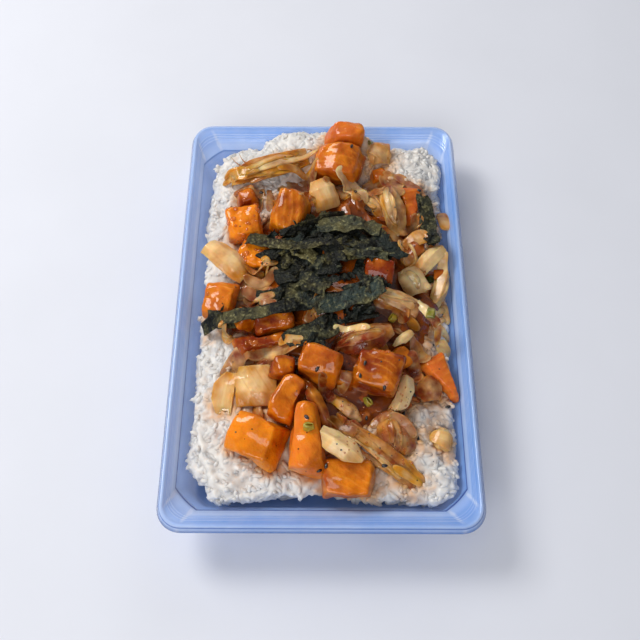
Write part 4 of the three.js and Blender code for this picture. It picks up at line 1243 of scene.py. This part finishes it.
def salmon_bits(ground, material):
    """Small blocks of salmon lying between the large ones."""
    whole = gathering("tone")
    for number, (spot, size, tone) in enumerate(SALMON_BITS):
        bm = bmesh.new()
        bmesh.ops.create_cube(bm, size=size * MM)
        bmesh.ops.subdivide_edges(bm, edges=bm.edges[:], cuts=7, use_grid_fill=True)
        smoothed(bm, 4)
        roughened(bm, BIT_WAVES, number)
        moved(bm, laid(*ground.seat(*spot), BIT_TURN * number))
        marked(bm, tone=tone, fat=0.2, stripe=0.0, pink=0.0)
        added(whole, bm)
    return piece("salmon_bits", whole, material)


def drop_shape(*scale):
    """A small ball, pressed or drawn out along each axis."""
    bm = bmesh.new()
    bmesh.ops.create_uvsphere(bm, u_segments=8, v_segments=6, radius=0.5 * MM, matrix=scaled(*scale))
    return bm


def beads(settings, material):
    """Drops of sauce on the beaded salmon, and small bubbles in the film in front."""
    rng = random.Random(SEED + 2)
    bead = as_mesh("bead", drop_shape(1, 1, BEAD_FLAT))
    bm = bmesh.new()
    for name, looks in SALMON.items():
        made = bpy.data.objects[name + "_cube"]
        faces = [face for face in made.data.polygons if face.normal.z > 0.2 or face.normal.y < -0.6]
        for face in rng.sample(faces, min(len(faces), looks.beads)):
            size = rng.uniform(*BEAD_SIZE)
            matrix = laid(face.center, face.normal, rng.uniform(0, 360))
            copied_into(bm, bead, matrix @ scaled(size * rng.uniform(*BEAD_STRETCH), size, size))
    ground = Ground(toppings())
    for _ in range(settings.bubbles):
        point, normal = ground.under(*(rng.uniform(*span) for span in BUBBLES))
        if point is not None:
            size = rng.uniform(*BUBBLE_SIZE)
            copied_into(bm, bead, laid(point, normal) @ scaled(size, size, size))
    return piece("sauce_beads", bm, material)


def bowed(x, y, length, turn, bow):
    """The route on plan of a strip of that length: its middle, turn and sideways bow."""
    way = Vector((math.cos(math.radians(turn)), math.sin(math.radians(turn))))
    side = Vector((-way.y, way.x))
    shares = [2 * number / (STATIONS - 1) - 1 for number in range(STATIONS)]
    middle = Vector((x, y))
    return [middle + way * share * length / 2 + side * bow * (1 - share * share) for share in shares]


def threaded(corners):
    """A smooth route on plan through a few corners."""
    corners = [Vector(corner) for corner in corners]
    route = []
    for number in range(STATIONS):
        spot = number / (STATIONS - 1) * (len(corners) - 1)
        start = min(int(spot), len(corners) - 2)
        route.append(corners[start].lerp(corners[start + 1], spot - start))
    for _ in range(4):
        route[1:-1] = [(a + b + c) / 3 for a, b, c in zip(route, route[1:], route[2:])]
    return route


def resting_line(ground, route, lift, press=STRIP_PRESS):
    """The middle line of a strip that lies on the ground: its points and the way up at each."""
    points, ups = [], []
    for spot in route:
        point, normal = ground.under(*spot)
        if point is None:
            height, normal = (points[-1].z if points else OPEN_HEIGHT * MM), UP
        else:
            height = point.z
        points.append(Vector((spot.x * MM, spot.y * MM, height)))
        ups.append((normal + UP).normalized())
    floor = [point.z for point in points]
    for _ in range(SETTLING):
        heights = [point.z for point in points]
        for number in range(1, STATIONS - 1):
            mean = sum(heights[number - 1:number + 2]) / 3
            points[number].z = max(mean, floor[number] - press * MM)
        ups = [sum(ups[max(0, n - 2):n + 3], Vector()).normalized() for n in range(STATIONS)]
    return [point + up * lift * MM for point, up in zip(points, ups)], ups


def station(along):
    """The station before that share of a line's length, from 0 to 1, and how far past it that is."""
    spot = along * (STATIONS - 1)
    number = min(int(spot), STATIONS - 2)
    return number, spot - number


def strewn_line(ground, x, y, rng, strewn):
    """A random strip's line over a spot on plan, its width and its roll."""
    bow = STRIP_BOW
    route = bowed(x, y, rng.uniform(*strewn.length), rng.uniform(0, 360), rng.uniform(-bow, bow))
    line = resting_line(ground, route, rng.uniform(*strewn.lift))
    return line, rng.uniform(*strewn.width), rng.uniform(-strewn.roll, strewn.roll)


def strip_shape(line, width, roll, cup, salt):
    """A thin cupped slice along a line of points, blunt at its ends and thinner at its edges."""
    points, ups = line
    bm = gathering("along", "across", "edge")
    bmesh.ops.create_uvsphere(bm, u_segments=20, v_segments=22, radius=0.5, matrix=turned(90, "Y"))
    layers = bm.verts.layers.float.values()
    reach = sum((b - a).length for a, b in zip(points, points[1:])) / MM
    for vert in bm.verts:
        along, across, thick = vert.co
        girth = math.sqrt(max(1 - 4 * along * along, 1e-6))
        blunt = max(0.0, 1 - abs(2 * along) ** 5) ** 0.45 / girth if girth > 0.01 else 1.0
        across, thick = across * blunt, thick * min(blunt, 1.4)
        number, past = station(along + 0.5)
        point = points[number].lerp(points[number + 1], past)
        up = ups[number].lerp(ups[number + 1], past)
        forward = (points[number + 1] - points[number]).normalized()
        side = turned(roll, forward, 3) @ up.cross(forward).normalized()
        up = turned(roll, forward, 3) @ up
        ragged = 1 + RAGGED * noise.noise(Vector((along * reach / RAGGED_WAVE, 0, salt)))
        height = thick * SMALL_SLICE_THICK + cup * width * (4 * across * across - 0.5)
        vert.co = point + side * across * width * ragged * MM + up * height * MM
        edge = min(1.0, math.hypot(2 * along, 2 * across))
        for layer, value in zip(layers, (along * reach, across * width, edge)):
            vert[layer] = value
    roughened(bm, STRIP_WAVES, salt)
    return bm


def strands_over(bm, name, looks, axes):
    """Lays thin strips along a slice, over its own body."""
    rng = random.Random(name)
    ground = Ground([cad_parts[node] for node in (name, "rice", "onion_bed")])
    middle, long, broad, _ = axes
    reaches = [[vert.co.dot(way) for vert in bm.verts] for way in (long, broad)]
    spans = [max(reach) - min(reach) for reach in reaches]
    turn = math.degrees(math.atan2(long.y, long.x))
    for number in range(looks.strands):
        share = rng.uniform(-1, 1)
        shift = long * rng.uniform(-0.12, 0.12) * spans[0] + broad * share * 0.34 * spans[1]
        spot = (middle + shift) / MM
        length = spans[0] / MM * rng.uniform(0.5, 0.95) * (1 - 0.35 * share * share)
        route = bowed(spot.x, spot.y, length, turn + rng.uniform(-9, 9), rng.uniform(-2, 2))
        line = resting_line(ground, route, rng.uniform(*STRAND_LIFT))
        strip = strip_shape(line, rng.uniform(*STRAND_WIDTH), rng.uniform(-STRAND_ROLL, STRAND_ROLL),
                            rng.uniform(*STRAND_CUP), number * 1.7)
        marked(strip, blush=rng.uniform(0, 0.5), ripe=held(looks.ripe + rng.uniform(-0.3, 0.2)),
               soaked=held(looks.soaked + rng.uniform(-0.3, 0.3)))
        added(bm, strip)


def slice_piece(name, looks, material):
    bm = remeshed(merged_copy(name), SLICE_VOXEL)
    smoothed(bm, looks.smooth)
    axes = own_axes(bm)
    roughened(bm, SLICE_WAVES, 2.3 * len(name), -looks.trim)
    mark_fibres(bm, *axes[1:3])
    blush = looks.soaked * 0.4 if looks.blush is None else looks.blush
    marked(bm, ripe=looks.ripe, soaked=looks.soaked, blush=blush)
    strands_over(bm, name, looks, axes)
    return piece(name + "_slice", bm, material, [name])


def small_slices(ground, material):
    """Thin curved slices lying loose on the heap, joined as one piece."""
    whole = gathering(*SLICE_VALUES)
    for number, (route, width, roll, ripe, soaked, blush) in enumerate(SMALL_SLICES):
        line = resting_line(ground, threaded(route), SMALL_SLICE_LIFT)
        bm = strip_shape(line, width, roll, SMALL_SLICE_CUP, number)
        marked(bm, ripe=ripe, soaked=soaked, blush=blush)
        added(whole, bm)
    return piece("onion_small_slices", whole, material)


def gap_slices(ground, count, material):
    """Soaked strips of onion that fill the gaps between the large toppings."""
    rng = random.Random(SEED + 3)
    whole = gathering(*SLICE_VALUES)
    made = 0
    while made < count:
        x, y = GAP_AREA.spot(rng)
        if NORI_AREA.holds(x, y):
            continue
        made += 1
        bm = strip_shape(*strewn_line(ground, x, y, rng, GAP_STRIPS), rng.uniform(*GAP_CUP), made * 1.3)
        marked(bm, ripe=rng.uniform(0.5, 1.0), soaked=rng.uniform(0.5, 1.0), blush=rng.uniform(0, 0.9))
        added(whole, bm)
    return piece("onion_gap_slices", whole, material)


def onion_tails(ground, material):
    """Thin ends of the sheaf that curl up over the rice."""
    whole = gathering(*SLICE_VALUES)
    for spot, length, rise, turn in TAILS:
        bm = bmesh.new()
        bmesh.ops.create_cone(bm, cap_ends=True, segments=8, radius1=TAIL_RADII[0] * MM,
                              radius2=TAIL_RADII[1] * MM, depth=length * MM)
        sides = [edge for edge in bm.edges if edge.calc_length() > 3 * MM]
        bmesh.ops.subdivide_edges(bm, edges=sides, cuts=9)
        moved(bm, turned(90, "Y"))
        for vert in bm.verts:
            share = vert.co.x / (length * MM) + 0.5
            vert.co.z += rise * share * share * MM
            vert.co.y += TAIL_SWAY * math.sin(3 * share) * MM
        mark_fibres(bm, Vector((1, 0, 0)), Vector((0, 1, 0)))
        marked(bm, ripe=0.6, soaked=0.6, blush=0.5)
        point, normal = ground.seat(*spot)
        moved(bm, laid(point + normal * MM, UP, turn))
        added(whole, bm)
    return piece("onion_tails", whole, material)


def nori_piece(name, blue, light, material):
    bm = merged_copy(name)
    bmesh.ops.subdivide_edges(bm, edges=bm.edges[:], cuts=3, use_grid_fill=True)
    smoothed(bm, 1)
    salt = 1.9 * len(name)
    bm.normal_update()
    shift = Vector((salt, 0, salt))
    for vert in bm.verts:
        rim = 1 - abs(vert.normal.z)
        vert.co += noise.noise_vector(vert.co / (TEAR_WAVE * MM) + shift) * TEAR_DEPTH * rim * MM
    crumpled(bm, SHEET_CRUMPLE, salt)
    marked(bm, blue=blue, light=light)
    return piece(name + "_sheet", bm, material, [name])


def nori_flake(length, width, salt):
    """A torn, curled bit of nori lying flat at the origin."""
    bm = bmesh.new()
    bmesh.ops.create_grid(bm, x_segments=18, y_segments=12, size=0.5)
    for vert in bm.verts:
        edge = max(abs(2 * vert.co.x) ** 4, abs(2 * vert.co.y) ** 4)
        ragged = noise.noise(Vector((vert.co.x * 5, vert.co.y * 4, salt))) * 0.6 * edge
        lift = FLAKE_CURL * noise.noise(Vector((vert.co.x * 2.4, vert.co.y * 2.0, salt * 3.1)))
        vert.co = mm(vert.co.x * length * (1 + ragged), vert.co.y * width * (1 + ragged), lift + 0.6)
    crumpled(bm, FLAKE_CRUMPLE, salt)
    bmesh.ops.solidify(bm, geom=bm.faces[:], thickness=FLAKE_THICK * MM)
    return bm


def nori_ribbon(line, width, roll, salt):
    """A long cut strip lying over the heap, its long sides nearly straight."""
    points, ups = line
    bm = bmesh.new()
    bmesh.ops.create_grid(bm, x_segments=44, y_segments=8, size=0.5)
    for vert in bm.verts:
        along, across = vert.co.x + 0.5, vert.co.y
        number, past = station(along)
        forward = (points[number + 1] - points[number]).normalized()
        up = turned(roll, forward, 3) @ ups[number]
        side = up.cross(forward).normalized()
        middle = points[number].lerp(points[number + 1], past)
        torn = 1 + RAGGED * noise.noise(Vector((along * 6, 2 * across, salt)))
        lift = RIBBON_WAVE * noise.noise(Vector((along * 5, across * 1.5, salt + 7)))
        vert.co = middle + side * across * width * torn * MM + up * lift * MM
    crumpled(bm, RIBBON_CRUMPLE, salt)
    bmesh.ops.solidify(bm, geom=bm.faces[:], thickness=RIBBON_THICK * MM)
    return bm


def nori_ribbons(ground, material):
    whole = gathering("blue", "light")
    for number, (route, width, roll, blue, light) in enumerate(RIBBONS):
        line = resting_line(ground, threaded(route), RIBBON_LIFT, RIBBON_PRESS)
        bm = nori_ribbon(line, width, roll, number * 2.3)
        marked(bm, blue=blue, light=light)
        added(whole, bm)
    return piece("nori_ribbons", whole, material)


def nori_shreds(ground, count, material):
    """Torn flakes lying on the sheets and between them, joined as one piece."""
    rng = random.Random(SEED + 5)
    whole = gathering("blue", "light")
    sheets = [bpy.data.objects[name + "_sheet"] for name in NORI]
    for number in range(count):
        if number % 2:
            point, normal = ground.seat(*NORI_AREA.spot(rng), 6)
            spans = LARGE_FLAKE
        else:
            sheet = rng.choice(sheets)
            face = rng.choice([face for face in sheet.data.polygons if face.normal.z > 0.5])
            point, normal = face.center, face.normal
            spans = SMALL_FLAKE
        bm = nori_flake(*(rng.uniform(*span) for span in spans), number)
        marked(bm, blue=rng.uniform(0, 0.7), light=rng.uniform(-0.5, 0.7))
        tilt = Vector((rng.uniform(-0.6, 0.6), rng.uniform(-0.6, 0.6), 1.5))
        up = (normal + tilt).normalized()
        point = point + up * rng.uniform(0, 1.6) * MM
        moved(bm, laid(point, up, rng.uniform(0, 180)))
        added(whole, bm)
    return piece("nori_shreds", whole, material)


def bed_piece(settings, material):
    """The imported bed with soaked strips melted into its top."""
    rng = random.Random(SEED + 6)
    bm = merged_copy("onion_bed")
    ground = Ground([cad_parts["onion_bed"]])
    low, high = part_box("onion_bed")
    for number in range(settings.melted):
        x, y = (rng.uniform(low[axis], high[axis]) / MM for axis in (0, 1))
        if ground.under(x, y)[0] is not None:
            added(bm, strip_shape(*strewn_line(ground, x, y, rng, BED_STRIPS), BED_CUP, number * 2.1))
    bm = remeshed(bm, BED_VOXEL)
    smoothed(bm, 2)
    roughened(bm, BED_WAVES, 4.0)
    mark_hollows(bm)
    return piece("bed", bm, material, ["onion_bed"])


def sauce_film(bed, swell, material):
    """The film of sauce that pools over the soaked onion."""
    bm = bmesh.new()
    bm.from_mesh(bed.data)
    bm = remeshed(bm, FILM_VOXEL)
    smoothed(bm, 5)
    roughened(bm, FILM_WAVES, 9.0, swell)
    return piece("sauce_film", bm, material)


def seeds(ground, material):
    """Black seeds on the toppings, and finer dark specks, joined as one piece."""
    rng = random.Random(SEED + 7)
    shape = drop_shape(1, 1, 1)
    for vert in shape.verts:
        taper = 1 - SEED_TAPER * (vert.co.x / MM + 0.5)
        vert.co.y *= taper
        vert.co.z *= taper
    seed = as_mesh("seed", shape)
    bm = bmesh.new()
    for spot in SEED_SPOTS:
        point, normal = ground.under(*spot)
        place = laid(point + normal * SEED_LIFT * MM, normal, rng.uniform(0, 360))
        size = rng.uniform(*SEED_SCALE)
        copied_into(bm, seed, place @ scaled(*(part * size for part in SEED_SIZE)))
    for _ in range(SPECKS):
        point, normal = ground.under(*(rng.gauss(*spread) for spread in SPECK_SPREAD))
        if point is not None and normal.z >= 0.3:
            size = rng.uniform(*SPECK_SIZE)
            copied_into(bm, seed, laid(point, normal) @ scaled(size, size, size * SPECK_FLAT))
    return piece("seeds", bm, material)


def chips(ground, material):
    """Short cut rings of spring onion, pressed oval."""
    whole = gathering("green")
    for number, (spot, size, green, tip) in enumerate(CHIPS):
        bm = bmesh.new()
        bmesh.ops.create_cone(bm, cap_ends=False, segments=28, radius1=0.5, radius2=0.42,
                              depth=CHIP_LENGTH)
        sides = [edge for edge in bm.edges if not edge.is_boundary]
        bmesh.ops.subdivide_edges(bm, edges=sides, cuts=5)
        for vert in bm.verts:
            vert.co = Vector((vert.co.x, vert.co.y * CHIP_FLAT, vert.co.z)) * size * MM
        bmesh.ops.solidify(bm, geom=bm.faces[:], thickness=CHIP_WALL * MM)
        roughened(bm, CHIP_WAVES, number)
        marked(bm, green=green)
        point, normal = ground.seat(*spot)
        turn = 55 * number + 20
        moved(bm, laid(point + normal * CHIP_LIFT * MM, normal, turn) @ turned(tip, "X"))
        added(whole, bm)
    return piece("spring_onion", whole, material)


# ---------------------------------------------------------------- settings

def colour_property(name, description, default):
    """A colour as on a screen, its default given in parts from 0 to 255."""
    return bpy.props.FloatVectorProperty(name=name, description=description, subtype="COLOR_GAMMA",
                                         default=screen(*default), min=0, max=1, size=3)


def size_property(name, description, default, low, high, **more):
    return bpy.props.FloatProperty(name=name, description=description, default=default, min=low,
                                   max=high, **more)


def count_property(name, description, default, most):
    return bpy.props.IntProperty(name=name, description=description, default=default, min=0, max=most)


class TraySettings(bpy.types.PropertyGroup):
    # pale is the colour of painted light, the fold line that of painted shade where a fold is seen
    # edge-on, and the wall colour is kept pale to lift the shade in the deep gap.
    brim: colour_property("Brim", "Colour of the sloping brim", (112, 174, 254))
    wall: colour_property("Wall", "Colour of the steep inner walls", (138, 182, 250))
    pale: colour_property("Pale", "Colour of the paler smears", (200, 220, 255))
    line: colour_property("Fold line", "Colour of the dark fold line", (36, 58, 130))


class RiceSettings(bpy.types.PropertyGroup):
    white: colour_property("White", "Colour of clean rice", (228, 224, 218))
    # shade is painted shade in the hollows between grains, and also the colour of random greyer patches.
    shade: colour_property("Shade", "Colour of the rice in the hollows", (172, 164, 160))
    stained: colour_property("Stained", "Colour of rice that the sauce has reached", (216, 160, 100))
    apart: size_property("Apart", "Width of one grain's share of the heap in mm", 2.5, 1.2, 6)
    sink: size_property("Sink", "How far the core lies under the heap in mm", 0.4, 0, 3)
    lift: size_property("Lift", "How far the grains stand over the core in mm", 0.1, -2, 2)
    stain_reach: size_property("Stain", "How far the sauce spreads in mm", 6, 1, 30)


class SalmonSettings(bpy.types.PropertyGroup):
    # deep is also the painted shade of pieces in shade, and pink also a painted reflection of the light.
    deep: colour_property("Deep", "Colour of the darkest flesh", (130, 42, 0))
    bright: colour_property("Bright", "Colour of the brightest flesh", (240, 136, 14))
    glaze: colour_property("Glaze", "Colour of the thick glaze", (238, 146, 16))
    pink: colour_property("Pink", "Colour of the paler, pinkish flesh", (226, 114, 46))
    fat: colour_property("Fat", "Colour of the pale stripes", (250, 168, 66))


class SliceSettings(bpy.types.PropertyGroup):
    white: colour_property("White", "Colour of clean slices", (248, 212, 154))
    amber: colour_property("Amber", "Colour of ripe slices", (216, 142, 36))
    soaked: colour_property("Soaked", "Colour of slices soaked in sauce", (136, 46, 2))
    blush: colour_property("Blush", "Colour of the purplish onion", (152, 74, 50))
    vein: colour_property("Vein", "Colour of the veins", (170, 84, 20))
    young: colour_property("Young", "Colour of the palest spring onion", (196, 168, 50))
    green: colour_property("Green", "Colour of the greenest spring onion", (62, 84, 14))


class NoriSettings(bpy.types.PropertyGroup):
    # dark is also the colour of the painted shade between the sheets.
    dark: colour_property("Dark", "Colour of the darkest nori", (14, 14, 8))
    mid: colour_property("Mid", "Colour of most of the nori", (104, 96, 56))
    blue: colour_property("Blue", "Colour of the bluish strips", (50, 64, 60))
    fleck: colour_property("Fleck", "Colour of the light flecks", (156, 150, 104))
    shreds: count_property("Shreds", "Number of loose torn flakes", 56, 90)


class BedSettings(bpy.types.PropertyGroup):
    onion: colour_property("Onion", "Colour of the soaked onion", (160, 78, 18))
    sauce: colour_property("Sauce", "Colour of the sauce in the hollows", (70, 18, 2))
    pale: colour_property("Pale", "Colour of the palest strands", (206, 136, 66))
    bead: colour_property("Bead", "Colour of thin drops of sauce", (236, 140, 50))
    bead_deep: colour_property("Deep bead", "Colour of thick drops of sauce", (190, 80, 24))
    film_thin: colour_property("Film", "Colour of the sauce where it lies thin", (176, 84, 12))
    film: size_property("Film", "How far the film stands over the onion in mm", 0.15, -1, 2)
    melted: count_property("Melted", "Number of strips sunk in the sauce", 110, 300)
    strips: count_property("Strips", "Number of soaked strips in the gaps", 34, 200)
    bubbles: count_property("Bubbles", "Number of small bubbles in the film", 160, 600)


class StageSettings(bpy.types.PropertyGroup):
    floor: colour_property("Floor", "Colour of the floor", (226, 228, 236))
    key_power: size_property("Key", "Power of the main light in watts", 7.4, 0, 200, unit="POWER")
    fill: size_property("Fill", "Strength of the light from all round", 0.26, 0, 3)


# ---------------------------------------------------------------- operators

class MakeTray(bpy.types.Operator):
    """Makes the thin blue tray with its folded brim"""
    bl_idname = "poke.make_tray"
    bl_label = "Tray"

    def execute(self, context):
        material = tray_finish(context.scene.poke_tray)
        piece("tray_sheet", tray_shape(), material, ["tray"])
        return {"FINISHED"}


class MakeBed(bpy.types.Operator):
    """Makes the soaked onion and sauce under the toppings"""
    bl_idname = "poke.make_bed"
    bl_label = "Soaked onion"

    def execute(self, context):
        scene = context.scene
        bed = bed_piece(scene.poke_bed, bed_finish(scene.poke_bed))
        sauce_film(bed, scene.poke_bed.film, film_finish(scene.poke_bed))
        ground = Ground([bed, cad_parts["rice"]])
        gap_slices(ground, scene.poke_bed.strips, slice_finish(scene.poke_slices))
        return {"FINISHED"}


class MakeSalmon(bpy.types.Operator):
    """Makes the dressed salmon blocks"""
    bl_idname = "poke.make_salmon"
    bl_label = "Salmon"

    def execute(self, context):
        material = salmon_finish(context.scene.poke_salmon)
        for name, looks in SALMON.items():
            salmon_piece(name, looks, material)
        salmon_bits(Ground(toppings()), material)
        return {"FINISHED"}


class MakeSlices(bpy.types.Operator):
    """Makes the slices of onion and stem"""
    bl_idname = "poke.make_slices"
    bl_label = "Slices"

    def execute(self, context):
        material = slice_finish(context.scene.poke_slices)
        for name, looks in SLICES.items():
            slice_piece(name, looks, material)
        return {"FINISHED"}


class MakeNori(bpy.types.Operator):
    """Makes the torn strips of nori and their loose flakes"""
    bl_idname = "poke.make_nori"
    bl_label = "Nori"

    def execute(self, context):
        settings = context.scene.poke_nori
        material = nori_finish(settings)
        ground = Ground(toppings())
        for name, looks in NORI.items():
            nori_piece(name, *looks, material)
        nori_shreds(ground, settings.shreds, material)
        nori_ribbons(Ground(toppings()), material)
        return {"FINISHED"}


class MakeRice(bpy.types.Operator):
    """Makes the heap of rice and its loose grains"""
    bl_idname = "poke.make_rice"
    bl_label = "Rice"

    def execute(self, context):
        settings = context.scene.poke_rice
        covers = Ground(toppings())
        tray = Ground([bpy.data.objects["tray_sheet"]])
        material = rice_finish(settings)
        core = rice_core(settings)
        loose = rice_grains(core, settings.apart * LOOSE_APART, LOOSE_LIFT, covers, tray)
        heap = clumped(core, rice_grains(core, settings.apart, settings.lift, covers, tray))
        mark_stain(heap, covers, settings.stain_reach)
        mark_stain(loose, covers, settings.stain_reach)
        marked(loose, hollow=LOOSE_GRAIN_SHADE)
        piece("rice_heap", heap, material, ["rice"])
        piece("rice_grains", loose, material)
        return {"FINISHED"}


class MakeSmallThings(bpy.types.Operator):
    """Lays small slices, spring onion, seeds and drops of sauce on the heap"""
    bl_idname = "poke.make_small_things"
    bl_label = "Small things"

    def execute(self, context):
        scene = context.scene
        slices = slice_finish(scene.poke_slices)
        ground = Ground([*toppings(), bpy.data.objects["rice_heap"]])
        small_slices(ground, slices)
        onion_tails(ground, slices)
        ground = Ground([*toppings(), bpy.data.objects["rice_heap"]])
        chips(ground, chip_finish(scene.poke_slices))
        seeds(ground, seed_finish())
        beads(scene.poke_bed, sauce_finish(scene.poke_bed))
        return {"FINISHED"}


class MakeStage(bpy.types.Operator):
    """Sets up the floor, the light and the camera"""
    bl_idname = "poke.make_stage"
    bl_label = "Stage"

    def execute(self, context):
        scene = context.scene
        settings = scene.poke_stage
        ground = bmesh.new()
        bmesh.ops.create_grid(ground, x_segments=8, y_segments=8, size=FLOOR_HALF)
        floor = placed("floor", as_mesh("floor", ground))
        floor.data.materials.append(floor_finish(settings))
        floor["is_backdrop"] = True
        for name, place, size, share, tint in LIGHTS:
            lamp = bpy.data.lights.new(name, "AREA")
            lamp.shape = "RECTANGLE"
            lamp.size, lamp.size_y = size
            lamp.energy = settings.key_power * share
            lamp.color = tint
            made = placed(name, lamp)
            made.location = place
            made.rotation_euler = (-made.location).to_track_quat("-Z", "Y").to_euler()
        scene.world = bpy.data.worlds.new("Studio")
        scene.world.use_nodes = True
        background = scene.world.node_tree.nodes["Background"].inputs
        background["Color"].default_value = paint(WORLD_TINT)
        background["Strength"].default_value = settings.fill
        scene.view_settings.view_transform = "Standard"
        scene.camera = placed("camera", bpy.data.cameras.new("camera"))
        scene.camera.data.lens = CAMERA_LENS
        scene.camera.location = CAMERA_PLACE
        scene.camera.rotation_euler = [math.radians(turn) for turn in CAMERA_TURN]
        return {"FINISHED"}


STEPS = (MakeTray, MakeBed, MakeSalmon, MakeSlices, MakeNori, MakeRice, MakeSmallThings, MakeStage)


class PokePanel(bpy.types.Panel):
    """Lists the bowl's groups of pieces"""
    bl_idname = "VIEW3D_PT_poke_bowl"
    bl_label = "Poke Bowl"
    bl_space_type = "VIEW_3D"
    bl_region_type = "UI"
    bl_category = "Poke Bowl"

    def draw(self, context):
        for step in STEPS:
            self.layout.operator(step.bl_idname)


SETTINGS = {
    "poke_tray": TraySettings,
    "poke_rice": RiceSettings,
    "poke_salmon": SalmonSettings,
    "poke_slices": SliceSettings,
    "poke_nori": NoriSettings,
    "poke_bed": BedSettings,
    "poke_stage": StageSettings,
}


def register():
    for name, group in SETTINGS.items():
        bpy.utils.register_class(group)
        setattr(bpy.types.Scene, name, bpy.props.PointerProperty(type=group))
    for step in (*STEPS, PokePanel):
        bpy.utils.register_class(step)


def unregister():
    for step in reversed((*STEPS, PokePanel)):
        bpy.utils.unregister_class(step)
    for name, group in SETTINGS.items():
        delattr(bpy.types.Scene, name)
        bpy.utils.unregister_class(group)


def main():
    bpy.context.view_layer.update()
    register()
    noise.seed_set(SEED)
    for step in STEPS:
        group, name = step.bl_idname.split(".")
        getattr(getattr(bpy.ops, group), name)()


if __name__ == "__main__":
    main()
